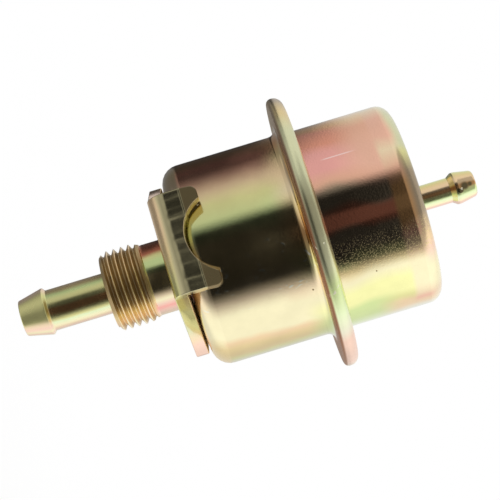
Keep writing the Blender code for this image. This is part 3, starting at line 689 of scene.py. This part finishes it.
def hose_tube(tip, far_end):
    """Corners of a barbed tube whose tip points up the axis."""
    return [
        (TUBE_BORE_RADIUS, far_end, 0.1 * MM),
        (TUBE_RADIUS, far_end, 0.1 * MM),
        (TUBE_RADIUS, tip - BARB_LENGTH - BARB_STEP, 0.25 * MM),
        (BARB_RADIUS, tip - BARB_LENGTH, 0.35 * MM),
        (BARB_TIP_RADIUS, tip, 0.3 * MM),
        (TUBE_BORE_RADIUS, tip, 0.2 * MM),
    ]


TUBE_STRIPES = around(
    (-180, GREEN), (-130, GOLD), (-95, GOLD), (-75, SAND), (-58, GOLD), (-44, GREEN), (-30, OLIVE),
    (-12, OLIVE), (-4, BROWN), (8, BROWN), (18, OLIVE), (28, OLIVE), (36, MINT), (49, CREAM),
    (58, SAND), (68, ROSE), (80, PALE), (110, GOLD), (180, GREEN),
)
BARB_STRIPES = around(
    (-180, GREEN), (-130, GOLD), (-85, ROSE), (-60, SAND), (-44, OLIVE), (18, OLIVE),
    (30, SAND), (44, ROSE), (58, CREAM), (70, ROSE), (80, PALE), (110, GOLD), (180, GREEN),
)
tube_zinc = zinc_finish(
    "turned_zinc_tube",
    TUBE_STRIPES,
    zones=((above_height(-24.6 * MM, -25.4 * MM, 0.0), BARB_STRIPES, 0.30),),
    roughness=0.27,
    lathe=0.0015 * MM,
    waves=0.6,
    grain=2.0,
)
point_down = Matrix.Rotation(math.pi, 4, "X")
return_tube = turned_piece(
    "return_tube_turned",
    hose_tube(-TUBE_BOTTOM, -TUBE_INNER_END),
    tube_zinc,
    turned_by=point_down,
)
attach(return_tube, "housing")
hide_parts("return_tube")

# %% Inlet tube and its brazed collar
INLET_COLLAR_RADIUS = 6.8 * MM
INLET_COLLAR_END = 22.75 * MM
INLET_COLLAR_SINK = 18.97 * MM
inlet_zinc = zinc_finish("turned_zinc_inlet", TUBE_STRIPES, waves=0.6, roughness=0.24)
point_out = Matrix.Translation((0, 0, INLET_HEIGHT)) @ Matrix.Rotation(-math.pi / 2, 4, "X")
inlet_tube = turned_piece(
    "inlet_tube_turned", hose_tube(INLET_REACH, INLET_INNER_END), inlet_zinc, turned_by=point_out
)
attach(inlet_tube, "housing")
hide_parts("inlet_tube")
inlet_collar = turned_piece(
    "inlet_collar_turned",
    [
        (TUBE_RADIUS + PIECE_GAP, INLET_COLLAR_SINK, 0.0),
        (INLET_COLLAR_RADIUS, INLET_COLLAR_SINK, 0.0),
        (INLET_COLLAR_RADIUS, INLET_COLLAR_END, 0.6 * MM),
        (TUBE_RADIUS + PIECE_GAP, INLET_COLLAR_END, 0.1 * MM),
    ],
    inlet_zinc,
    turned_by=point_out,
)
punch(inlet_collar, LOWER_RADIUS + PIECE_GAP, (0, 0, 0), (0, 0, 2 * INLET_HEIGHT))
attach(inlet_collar, "housing")
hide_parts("inlet_collar")

# %% [markdown]
# ## The vacuum nipple
#
# A small hose for manifold vacuum goes on this nipple. Its bead is a short ramp, a narrow crest and a
# long slope to the tip. Its foot is inside the can, where the nipple is brazed in.

# %% Vacuum nipple
BULB_RADIUS = 3.2 * MM
BULB_START = 56.65 * MM
BULB_WIDEST = 57.65 * MM
BULB_FLAT = 0.7 * MM
NIPPLE_END = 61.85 * MM
NIPPLE_BORE_RADIUS = 1.2 * MM
NIPPLE_FOOT_RADIUS = 4.62 * MM
NIPPLE_FOOT_TOP = 48.6 * MM
NIPPLE_FOOT_BOTTOM = 47.7 * MM
NIPPLE_STRIPES = around(
    (-180, GOLD), (-120, OLIVE), (-90, MINT), (-62, OLIVE), (-45, GOLD), (-30, PEACH), (-15, PEACH),
    (-6, BROWN), (4, BROWN), (12, OLIVE), (24, GREEN), (38, MINT), (52, CREAM), (62, ROSE), (80, ROSE),
    (120, GOLD), (180, GOLD),
)
nipple_zinc = zinc_finish(
    "turned_zinc_nipple",
    NIPPLE_STRIPES,
    marks=(
        # Three dark spots on the bead, on the side toward the camera, and two painted glints: pale spots
        # over small dents.
        pit_or_painted_spot(3.2, 0.0, 59.5, 1.15, DARK, 0.03),
        pit_or_painted_spot(3.2, 14.0, 58.5, 0.75, DARK, 0.03),
        pit_or_painted_spot(3.0, -2.0, 60.6, 0.7, DARK, 0.03),
        pit_or_painted_spot(3.2, 8.0, 58.8, 0.32, PALE, -0.12),
        pit_or_painted_spot(3.1, 3.0, 60.1, 0.24, PALE, -0.12),
    ),
    waves=1.0,
    grain=2.0,
)
vacuum_nipple = turned_piece(
    "vacuum_nipple_turned",
    [
        (NIPPLE_BORE_RADIUS, NIPPLE_FOOT_BOTTOM, 0.1 * MM),
        (NIPPLE_FOOT_RADIUS, NIPPLE_FOOT_BOTTOM, 0.1 * MM),
        (NIPPLE_FOOT_RADIUS, NIPPLE_FOOT_TOP, 0.1 * MM),
        (STEM_RADIUS, NIPPLE_FOOT_TOP, 0.1 * MM),
        (STEM_RADIUS, BULB_START, 0.2 * MM),
        (BULB_RADIUS, BULB_WIDEST, 0.7 * MM),
        (BULB_RADIUS, BULB_WIDEST + BULB_FLAT, 1.2 * MM),
        (STEM_RADIUS, NIPPLE_END, 0.8 * MM),
        (NIPPLE_BORE_RADIUS, NIPPLE_END, 0.15 * MM),
    ],
    nipple_zinc,
    steps=128,
)
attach(vacuum_nipple, "housing")
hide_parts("vacuum_nipple")

# %% [markdown]
# ## The threaded stub
#
# An M16 thread has a groove that climbs 1.5 mm in each turn, so rings would be wrong: the crests must
# lean. The spin operator can climb while it turns. A zigzag of flanks spun once round with a climb of
# one pitch joins onto itself, each groove to the next one up. It is then cut level at both ends, and
# its radius is held under a cone at the chamfer. Toward the plain shank, crest and root close in on the
# shank's radius, so that the groove runs out.

# %% Stub sizes
THREAD_RADIUS = 8.0 * MM
THREAD_ROOT = 7.02 * MM
THREAD_PITCH = 1.5 * MM
THREAD_BOTTOM = -13.0 * MM
THREAD_CHAMFER = 0.95 * MM
RUNOUT_START = -6.6 * MM
RUNOUT_END = -4.3 * MM
CREST_HEIGHT = -9.15 * MM
SHANK_RADIUS = 7.2 * MM
STUB_BORE_RADIUS = 4.25 * MM
STUB_COLLAR_RADIUS = 10.5 * MM
STUB_COLLAR_BOTTOM = 3.9 * MM
STUB_COLLAR_TOP = 5.5 * MM
POINTS_A_PITCH = 20
CREST_SHARE = 0.08
ROOT_SHARE = 0.14


def thread_radius(share):
    """The radius of the flank at a share of one pitch, from crest to root and back."""
    depth = THREAD_RADIUS - THREAD_ROOT
    from_crest = min(share, 1.0 - share) * 2.0
    slope = (from_crest - CREST_SHARE) / (1.0 - CREST_SHARE - ROOT_SHARE)
    return THREAD_RADIUS - depth * min(max(slope, 0.0), 1.0)


print("radius in mm at a crest, halfway and at a root:", [thread_radius(i / 4) / MM for i in range(3)])


# %% Thread
def thread_zigzag(bm):
    """The wire of crests and roots up the axis, a little longer than the thread at both ends."""
    turns_below = math.ceil((CREST_HEIGHT - THREAD_BOTTOM) / THREAD_PITCH) + 1
    start = CREST_HEIGHT - turns_below * THREAD_PITCH
    pitches = math.ceil((RUNOUT_END - start) / THREAD_PITCH) + 1
    last = None
    for i in range(pitches * POINTS_A_PITCH + 1):
        share = (i % POINTS_A_PITCH) / POINTS_A_PITCH
        height = start + THREAD_PITCH * i / POINTS_A_PITCH
        vert = bm.verts.new((thread_radius(share), 0.0, height))
        if last:
            bm.edges.new((last, vert))
        last = vert


def spin_thread(bm):
    """Spins the zigzag once round while it climbs one pitch, and cuts it level at both ends."""
    bmesh.ops.spin(
        bm,
        geom=bm.verts[:] + bm.edges[:],
        cent=(0.0, 0.0, 0.0),
        axis=AXIS,
        dvec=(0.0, 0.0, THREAD_PITCH / ROUND_STEPS),
        angle=math.tau,
        steps=ROUND_STEPS,
    )
    bmesh.ops.remove_doubles(bm, verts=bm.verts, dist=1e-6)
    for height, normal in ((THREAD_BOTTOM, -AXIS), (RUNOUT_END, AXIS)):
        bmesh.ops.bisect_plane(
            bm,
            geom=bm.verts[:] + bm.edges[:] + bm.faces[:],
            plane_co=(0.0, 0.0, height),
            plane_no=normal,
            clear_outer=True,
        )


def hold_radius(bm):
    """Keeps the thread under the cone of its chamfer, and closes it in on the shank's radius."""
    for vert in bm.verts:
        radius = vert.co.to_2d().length
        cone = THREAD_RADIUS - max(0.0, THREAD_BOTTOM + THREAD_CHAMFER - vert.co.z)
        fade = min(max((vert.co.z - RUNOUT_START) / (RUNOUT_END - RUNOUT_START), 0.0), 1.0)
        crest_limit = THREAD_RADIUS + (SHANK_RADIUS - THREAD_RADIUS) * fade
        root_limit = THREAD_ROOT + (SHANK_RADIUS - THREAD_ROOT) * fade
        held = min(max(radius, root_limit), crest_limit, cone)
        vert.co.x *= held / radius
        vert.co.y *= held / radius


# %% Stub round its thread
def add_ring(bm, edges, old_radius, new_radius, rise):
    """Extrudes a round edge loop to another radius and height, and returns its new edges."""
    made = bmesh.ops.extrude_edge_only(bm, edges=edges)["geom"]
    verts = [item for item in made if isinstance(item, bmesh.types.BMVert)]
    share = new_radius / old_radius
    bmesh.ops.scale(bm, verts=verts, vec=(share, share, 1.0))
    bmesh.ops.translate(bm, verts=verts, vec=(0.0, 0.0, rise))
    return [item for item in made if isinstance(item, bmesh.types.BMEdge)]


def make_stub(material):
    """The stub: its thread, then ring by ring the shank, the inner collar and the bore."""
    bm = bmesh.new()
    thread_zigzag(bm)
    spin_thread(bm)
    hold_radius(bm)
    open_edges = [edge for edge in bm.edges if edge.is_boundary]
    bottom = [edge for edge in open_edges if edge.verts[0].co.z < (THREAD_BOTTOM + RUNOUT_END) / 2]
    top = [edge for edge in open_edges if edge not in bottom]
    bottom_bore = add_ring(bm, bottom, THREAD_RADIUS - THREAD_CHAMFER, STUB_BORE_RADIUS, 0.0)
    collar_base = add_ring(bm, top, SHANK_RADIUS, SHANK_RADIUS, STUB_COLLAR_BOTTOM - RUNOUT_END)
    collar_foot = add_ring(bm, collar_base, SHANK_RADIUS, STUB_COLLAR_RADIUS, 0.0)
    collar_side = add_ring(bm, collar_foot, 1.0, 1.0, STUB_COLLAR_TOP - STUB_COLLAR_BOTTOM)
    collar_top = add_ring(bm, collar_side, STUB_COLLAR_RADIUS, STUB_BORE_RADIUS, 0.0)
    bmesh.ops.bridge_loops(bm, edges=bottom_bore + collar_top)
    bmesh.ops.recalc_face_normals(bm, faces=bm.faces)
    return finished("threaded_stub_turned", bm, material, sharp_deg=50.0)


# %% Stub finish
SHANK_STRIPES = around(
    (-180, GOLD), (-120, BROWN), (-90, SALMON), (-60, RUST), (-44, RUST), (-36, OLIVE), (-28, GREEN),
    (-14, GREEN), (-4, GOLD), (14, GOLD), (28, SAND), (36, CREAM), (44, ROSE), (52, PINK), (64, ROSE),
    (78, SAND), (120, GREEN), (180, GOLD),
)
# Painted shade and painted highlight: the flanks and roots are dark brown, as shade in the grooves, and the
# crests are lighter, as where they catch the light.
THREAD_STRIPES = around(
    (-180, GROOVE_SHADE_BROWN), (26, GROOVE_SHADE_BROWN), (42, GOLD), (62, PEACH), (90, GROOVE_SHADE_BROWN),
    (180, GROOVE_SHADE_BROWN),
)
CREST_HIGHLIGHT_STRIPES = around(
    (-180, GOLD), (-60, PEACH), (0, GOLD), (44, SAND), (60, CREAM), (90, SAND), (180, GOLD)
)
stub_zinc = zinc_finish(
    "turned_zinc_stub",
    THREAD_STRIPES,
    zones=(
        (past_radius(7.74 * MM, 7.92 * MM), CREST_HIGHLIGHT_STRIPES, 0.22),
        (above_height(-5.0 * MM, -4.3 * MM, 1.0 * MM), SHANK_STRIPES, 0.2),
    ),
    marks=(pit_or_painted_spot(7.6, -21.4, -11.25, 0.45, DARK, 0.0),),
    waves=0.5,
    grain=0.4,
    roughness=0.40,
)
threaded_stub = make_stub(stub_zinc)
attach(threaded_stub, "housing")
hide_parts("threaded_stub")

# %% [markdown]
# ## The bracket
#
# The bracket is pressed from 2.55 mm sheet: a plate that is widest at the stub, and at each end a flap
# folded up along the can, with a round cut-out for the inlet and two ears that are bent in a little. It
# is made as the press makes it: a flat blank first, thickened and punched, its edges bevelled, and
# folded last, by moving each point from its place along the blank to its place round the bend.

# %% Bracket sizes
PLATE_THICKNESS = 2.55 * MM
PLATE_HALF_WIDTH = 17.5 * MM
PLATE_CORNER_CUT = 0.75 * MM
FLAP_HALF_WIDTH = 9.75 * MM
FLAP_BELOW_INLET = 3.5 * MM
FOLD_LINES = 10
BLANK_SEGMENTS = 8
FLAP_FACE = 23.0 * MM
FLAP_TOP = 9.55 * MM
FLAP_CORNER_RADIUS = 1.3 * MM
CUTOUT_RADIUS = 7.9 * MM
BEND_INNER_RADIUS = 1.0 * MM
CREASE_HEIGHT = 6.45 * MM
CREASE_LENGTH = 0.8 * MM
EAR_LEAN_DEG = 16.0
EDGE_ROUND = 0.22 * MM
STRAIGHT_RUN = FLAP_FACE - PLATE_THICKNESS - BEND_INNER_RADIUS
BEND_RUN = BEND_INNER_RADIUS * math.pi / 2
BEND_CENTRE_HEIGHT = PLATE_THICKNESS + BEND_INNER_RADIUS
BLANK_HALF_LENGTH = STRAIGHT_RUN + BEND_RUN + FLAP_TOP - BEND_CENTRE_HEIGHT
print(f"blank: {2 * BLANK_HALF_LENGTH / MM:.1f} mm along its inner face")


# %% Flat blank
def flat_blank():
    """The outline of the blank as one face: six corners rounded by bevels, and the holes cut after."""
    bm = bmesh.new()
    half = [
        (PLATE_HALF_WIDTH, 0.0),
        (FLAP_HALF_WIDTH, STRAIGHT_RUN),
        (FLAP_HALF_WIDTH, BLANK_HALF_LENGTH),
        (-FLAP_HALF_WIDTH, BLANK_HALF_LENGTH),
        (-FLAP_HALF_WIDTH, STRAIGHT_RUN),
    ]
    outline = half + [(-across, -along) for across, along in half]
    verts = [bm.verts.new((across, along, 0.0)) for across, along in outline]
    bm.faces.new(verts)
    rounded = [verts[i] for i in (2, 3, 7, 8)]
    sides = [verts[i] for i in (0, 5)]
    bevel(bm, rounded, FLAP_CORNER_RADIUS, BLANK_SEGMENTS)
    bevel(bm, sides, PLATE_CORNER_CUT, BLANK_SEGMENTS)
    return bm


def press_blank(bm):
    """Gives the blank its thickness and cuts the stub's hole and the two round cut-outs."""
    lifted = bmesh.ops.extrude_face_region(bm, geom=bm.faces[:])["geom"]
    top = [item for item in lifted if isinstance(item, bmesh.types.BMVert)]
    bmesh.ops.translate(bm, verts=top, vec=(0.0, 0.0, PLATE_THICKNESS))
    bmesh.ops.recalc_face_normals(bm, faces=bm.faces)
    mesh = bpy.data.meshes.new("blank")
    bm.to_mesh(mesh)
    bm.free()
    blank = bpy.data.objects.new("blank", mesh)
    bpy.context.scene.collection.objects.link(blank)
    mesh.materials.append(bracket_zinc)
    cut_centre = BLANK_HALF_LENGTH + FLAP_BELOW_INLET
    holes = ((STUB_HOLE_RADIUS, 0.0), (CUTOUT_RADIUS, cut_centre), (CUTOUT_RADIUS, -cut_centre))
    for radius, along in holes:
        punch(blank, radius, (0.0, along, -PLATE_THICKNESS), (0.0, along, 2 * PLATE_THICKNESS))
    return blank


# %% Bevel, slice and fold
def slice_across(bm, places):
    """Cuts the blank across its length at each place, on both halves, so that it can bend there."""
    for place in places:
        for side in (place, -place):
            bmesh.ops.bisect_plane(
                bm,
                geom=bm.verts[:] + bm.edges[:] + bm.faces[:],
                plane_co=(0.0, side, 0.0),
                plane_no=(0.0, 1.0, 0.0),
            )


def folded(point):
    """Where a point of the flat blank goes: x across, y along the blank, z up from its outer face."""
    side = math.copysign(1.0, point.y)
    run = abs(point.y)
    radius = BEND_INNER_RADIUS + PLATE_THICKNESS - point.z
    if run <= STRAIGHT_RUN:
        return point.copy()
    if run <= STRAIGHT_RUN + BEND_RUN:
        angle = (run - STRAIGHT_RUN) / BEND_INNER_RADIUS
        out = STRAIGHT_RUN + radius * math.sin(angle)
        return Vector((point.x, side * out, BEND_CENTRE_HEIGHT - radius * math.cos(angle)))
    height = BEND_CENTRE_HEIGHT + run - STRAIGHT_RUN - BEND_RUN
    return Vector((point.x, side * (STRAIGHT_RUN + radius - ear_lean(height)), height))


def ear_lean(height):
    """How far an ear has leaned in at a height, past the crease."""
    slope = math.tan(math.radians(EAR_LEAN_DEG))
    past = height - CREASE_HEIGHT + CREASE_LENGTH / 2
    if past <= 0.0:
        return 0.0
    if past < CREASE_LENGTH:
        return slope * past * past / (2 * CREASE_LENGTH)
    return slope * (past - CREASE_LENGTH / 2)


print("the blank's end, folded:", tuple(folded(Vector((0.0, BLANK_HALF_LENGTH, 0.0))) / MM))


# %% Bracket finish
BRACKET_STRIPES = around(
    (-180, GOLD), (-120, OLIVE), (-88, BROWN), (-60, BROWN), (-44, SMOKE), (14, SMOKE),
    (24, GREY_GREEN), (45, GREY_GREEN), (56, SAND), (63, ROSE), (78, ROSE), (90, PINK), (110, GOLD),
    (180, GOLD),
)
# Painted shade: the ears, bent in toward the can, are painted near black.
EAR_SHADE_STRIPES = around((-180, DARK), (-24, DARK), (-8, DARK_BROWN), (6, DARK), (180, DARK))
INSIDE_STRIPES = around((-180, GOLD), (0, PEACH), (180, GOLD))
# Painted shade: umber and dark brown on the cut faces, round 0 degrees.
CUTOUT_SHADE_STRIPES = around(
    (-180, BROWN), (-24, GOLD), (-17, GOLD), (-10, UMBER), (8, DARK_BROWN), (18, BROWN), (36, PEACH),
    (180, PEACH),
)
BEND_STRIPES = around((-180, PEACH), (-24, PEACH), (-8, GOLD), (4, OLIVE), (30, OLIVE), (180, SAND))


def on_plate_top(place, cloud):
    """A zone: the face of the plate that looks at the can, which nothing has polished."""
    return place.along(AXIS).band(2.3 * MM, 2.5 * MM) * axis_distance(place).band(20.2 * MM, 20.0 * MM)


def in_cutout(place, cloud):
    """A zone: the cut faces of the round cut-outs, painted dark as shade where they face the camera."""
    away = place.scaled(1.0, 0.0, 1.0).away_from((0.0, 0.0, INLET_HEIGHT))
    return away.band(CUTOUT_RADIUS + 0.25 * MM, CUTOUT_RADIUS + 0.1 * MM)


def on_bend(place, cloud):
    """A zone: the low part of the bends."""
    height = place.along(AXIS) + (cloud - 0.5) * (2.0 * MM)
    return height.band(2.0 * MM, 1.0 * MM) * axis_distance(place).band(19.0 * MM, 20.0 * MM)


def flap_relief(place):
    """The marks of the press on the flaps: waves across them, and a fine ridge along the crease."""
    waves = place.scaled(1.0, 0.1, 0.12).noise(520.0, 1.0)
    height = place.along(AXIS)
    on_flap = height.band(2.6 * MM, 3.6 * MM)
    off_crease = (height - CREASE_HEIGHT).size()
    return waves * on_flap * (0.18 * MM) + off_crease.band(0.4 * MM, 0.0) * (0.08 * MM)


bracket_zinc = zinc_finish(
    "pressed_zinc_bracket",
    BRACKET_STRIPES,
    zones=(
        (above_height(CREASE_HEIGHT - 0.1 * MM, CREASE_HEIGHT + 0.2 * MM, 0.0), EAR_SHADE_STRIPES, 0.26),
        (on_bend, BEND_STRIPES, 0.24),
        (on_plate_top, INSIDE_STRIPES, 0.6),
        (in_cutout, CUTOUT_SHADE_STRIPES, 0.2),
    ),
    waves=1.5,
    grain=2.0,
    roughness=0.2,
    relief_of=flap_relief,
)

# %% Whole bracket
def make_bracket():
    """The bracket: its blank with rounded edges, cut across where it bends, and folded."""
    blank = press_blank(flat_blank())
    bm = bmesh.new()
    bm.from_mesh(blank.data)
    bpy.data.objects.remove(blank)
    bmesh.ops.remove_doubles(bm, verts=bm.verts, dist=1e-6)
    bmesh.ops.dissolve_limit(bm, angle_limit=math.radians(1.0), verts=bm.verts, edges=bm.edges)
    rim = [edge for edge in bm.edges if edge.calc_face_angle(0.0) > math.radians(60.0)]
    bevel(bm, rim, EDGE_ROUND, 3, "EDGES")
    bend = [STRAIGHT_RUN + BEND_RUN * i / FOLD_LINES for i in range(FOLD_LINES + 1)]
    crease = STRAIGHT_RUN + BEND_RUN + CREASE_HEIGHT - BEND_CENTRE_HEIGHT
    ears = [crease + CREASE_LENGTH * (i / 4 - 0.5) for i in range(5)]
    slice_across(bm, bend + ears)
    for vert in bm.verts:
        vert.co = folded(vert.co)
    bm.normal_update()
    bmesh.ops.triangulate(bm, faces=bm.faces)
    bmesh.ops.recalc_face_normals(bm, faces=bm.faces)
    return finished("bracket_pressed", bm, bracket_zinc, sharp_deg=40.0)


bracket = make_bracket()
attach(bracket, "housing")
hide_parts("bracket")

# %% [markdown]
# ## The pieces inside
#
# Nothing inside shows in the photograph, but the pieces are part of the model and are finished plainly:
# ground steel with a faint grain, darker spring wire, turned brass and matt coated cloth. Their CAD
# meshes already have the right shape, so only their materials are new.

# %% Plain finishes
GRAIN_HEIGHT = 0.004 * MM


def plain_finish(name, colour, roughness, metallic, grain, stretch=(1.0, 1.0, 1.0)):
    """A plain material with a grain that darkens and roughens it a little."""
    material, tree, shader = new_material(name)
    start = Value(tree)
    place = start.node("ShaderNodeTexCoord", output="Object")
    speck = place.scaled(*stretch).noise(grain, 3.0)
    deep = tuple(channel * 0.78 for channel in colour)
    shown = speck.band(0.3, 0.7).mix((*deep, 1.0), (*colour, 1.0))
    rough = speck.band(0.3, 0.7, roughness * 1.2, roughness * 0.85)
    bump = start.node("ShaderNodeBump", {}, {"Height": speck * GRAIN_HEIGHT, "Distance": 1.0}, "Normal")
    tree.links.new(shown.socket, shader.inputs["Base Color"])
    tree.links.new(rough.socket, shader.inputs["Roughness"])
    tree.links.new(bump.socket, shader.inputs["Normal"])
    shader.inputs["Metallic"].default_value = metallic
    return material


INNER_FINISHES = {
    "plain_steel": plain_finish("ground_steel", (0.56, 0.55, 0.53), 0.32, 1.0, 900.0, (1.0, 1.0, 4.0)),
    "spring_steel": plain_finish("spring_wire", (0.40, 0.39, 0.38), 0.38, 1.0, 700.0, (1.0, 1.0, 3.0)),
    "brass": plain_finish("turned_brass", (0.72, 0.54, 0.24), 0.26, 1.0, 800.0, (0.3, 0.3, 6.0)),
    "coated_cloth": plain_finish("coated_cloth", (0.045, 0.045, 0.05), 0.62, 0.0, 1500.0),
}
for part in frame["record"]["subparts"]:
    if part["material_slot"] in INNER_FINISHES:
        node = frame["nodes"][part["node"]]
        node.data.materials.clear()
        node.data.materials.append(INNER_FINISHES[part["material_slot"]])
        print(part["node"], "in", part["material_slot"])

# %% [markdown]
# ## Floor and light
#
# Bare metal shows only what it mirrors, so the light is set up as a metal photographer would: large
# soft white panels on both sides, and between them, at the camera, a dark gap. The dark gap gives the
# dark band along each cylinder. The panels are parts of the world, so they have soft edges. A
# cylinder's wall turns what it mirrors by twice its own angle. The world is plain white to the camera,
# and for what isn't metal it is one even level.
#
# The floor is a plain pale sheet below the part. It glows by just what keeps it white, and the light
# that the part takes from it still makes a soft shadow.

# %% The panels
def panels(angle, climb):
    """How bright the studio is in a direction. Both angles are in degrees.

    The angle is 0 at the camera and grows toward the picture's lower edge. The climb is up from level.
    Each piece looks at a belt of its own: the lower can at climbs under 2 degrees, the upper can above
    3, where high is 1, and the return tube under -5, where low is 1.
    """
    other_way = 0.0 - angle
    drop = 0.0 - climb
    high = climb.band(1.2, 2.8)
    low = climb.band(-4.4, -6.4)

    # The panel on the side of the picture's lower edge
    lower_panel = angle.band(34.0 + high * 9.0, 71.0 - high * 3.0)
    lower_panel = lower_panel * (1.0 - angle.band(100.0, 140.0) * (0.28 - high * 0.14))

    # The panel on the other side, which fades out toward the picture's upper edge
    lift = climb.band(6.5, 40.0) * 34.0
    level = 0.62 + high * 0.12 - low * 0.12
    fall = other_way.band(66.0, 117.0) * (0.94 - low * 0.34) * (1.0 - high)
    fall_high = other_way.band(72.0, 146.0) * climb.band(2.8, 4.6, 0.74, 0.08) * high
    upper_panel = (other_way - lift).band(30.0, 47.0) * level * (1.0 - fall) * (1.0 - fall_high)

    # The gap between them, which is not quite black
    red_streak = angle.band(-14.0, -8.0) * angle.band(9.0, 3.0) * climb.band(2.4, 3.8, 0.03, 0.11) * high
    brown_end = climb.band(4.7, 7.0) * 0.10
    near_rim = climb.band(3.2, 2.8) * high * angle.band(-40.0, -24.0) * angle.band(34.0, 16.0) * 0.03
    gap = 0.014 + high * 0.008 + near_rim + red_streak.larger(brown_end) + low * 0.05

    # What the barb and the rounded corners see under, over and behind them
    below = drop.band(18.0, 34.0) * angle.band(-34.0, -6.0, 0.44, 0.2)
    below = below + drop.band(36.0, 55.0) * other_way.band(8.0, 24.0) * 0.26
    below = below * (1.0 - drop.band(38.0, 50.0) * other_way.band(60.0, 100.0) * 0.85)
    below = below * (1.0 - other_way.band(104.0, 140.0) * 0.8)
    above = climb.band(6.2, 17.0) * 0.36
    behind = angle.size().band(164.0, 178.0) * 0.5
    return lower_panel.larger(upper_panel).larger(below.larger(above)).larger(behind) + gap


# %% World
EVEN_LIGHT = 0.72


def studio_world():
    """A world that is white to the camera, the panels to metal, and one even level to the rest."""
    world = bpy.data.worlds.new("soft studio")
    bpy.context.scene.world = world
    world.use_nodes = True
    world.cycles.sampling_method = "NONE"
    tree = world.node_tree
    tree.nodes.clear()
    start = Value(tree)
    ray = start.node("ShaderNodeTexCoord", output="Generated")
    sideways = ray.along(SIDE)
    angle = sideways.maths("ARCTAN2", sideways, ray.along(FRONT)) * math.degrees(1.0)
    climb = ray.along(AXIS).maths("ARCSINE", ray.along(AXIS)) * math.degrees(1.0)
    path = tree.nodes.new("ShaderNodeLightPath")
    to_camera = Value(tree, path.outputs["Is Camera Ray"])
    mirrored = Value(tree, path.outputs["Is Glossy Ray"]) + Value(tree, path.outputs["Is Transmission Ray"])
    seen = mirrored * panels(angle, climb) + (1.0 - mirrored) * EVEN_LIGHT
    strength = to_camera + (1.0 - to_camera) * seen
    background = tree.nodes.new("ShaderNodeBackground")
    background.inputs["Color"].default_value = (1.0, 1.0, 1.0, 1.0)
    tree.links.new(strength.socket, background.inputs["Strength"])
    output = tree.nodes.new("ShaderNodeOutputWorld")
    tree.links.new(background.outputs["Background"], output.inputs["Surface"])
    print("world nodes:", len(tree.nodes))


studio_world()

# %% Floor
FLOOR_HEIGHT = -60.0 * MM
FLOOR_HALF = 3.0
FLOOR_WHITE = 0.8


def make_floor():
    """A wide pale sheet that mirrors nothing and that nothing mirrors."""
    bm = bmesh.new()
    bmesh.ops.create_grid(
        bm, x_segments=1, y_segments=1, size=FLOOR_HALF, matrix=Matrix.Translation((0, 0, FLOOR_HEIGHT))
    )
    material, _, shader = new_material("pale_floor")
    shader.inputs["Base Color"].default_value = (FLOOR_WHITE, FLOOR_WHITE, FLOOR_WHITE, 1.0)
    shader.inputs["Roughness"].default_value = 1.0
    shader.inputs["Specular IOR Level"].default_value = 0.0
    shader.inputs["Emission Color"].default_value = (1.0, 1.0, 1.0, 1.0)
    shader.inputs["Emission Strength"].default_value = 1.0 - FLOOR_WHITE * EVEN_LIGHT
    floor = finished("floor", bm, material)
    floor.visible_glossy = False
    return floor


make_floor()

# %% [markdown]
# ## Camera
#
# The photograph shows the part from its side, turned by 16.8 degrees in the picture, and its lines
# hardly converge: a long lens from about a third of a metre.

# %% Camera
PICTURE_TURN_DEG = 16.8
AIM_HEIGHT = 15.85 * MM
AIM_ACROSS = -0.07 * MM
DISTANCE = 0.330
SENSOR = 36.0
LENS = 121.0


def make_camera():
    """A long lens, level with the part and square to its axis, turned in the picture's plane."""
    tilt = math.radians(PICTURE_TURN_DEG)
    right = AXIS * math.cos(tilt) + SIDE * math.sin(tilt)
    up = AXIS * math.sin(tilt) - SIDE * math.cos(tilt)
    place = AXIS * AIM_HEIGHT + SIDE * AIM_ACROSS + FRONT * DISTANCE
    data = bpy.data.cameras.new("photo camera")
    data.sensor_width = SENSOR
    data.lens = LENS
    data.clip_start = 0.01
    camera = bpy.data.objects.new("photo camera", data)
    camera.matrix_world = Matrix.Translation(place) @ Matrix((right, up, FRONT)).transposed().to_4x4()
    bpy.context.scene.collection.objects.link(camera)
    bpy.context.scene.camera = camera
    print("camera at", tuple(round(c, 4) for c in place))


make_camera()
bpy.context.scene.view_settings.view_transform = "Standard"

# %% [markdown]
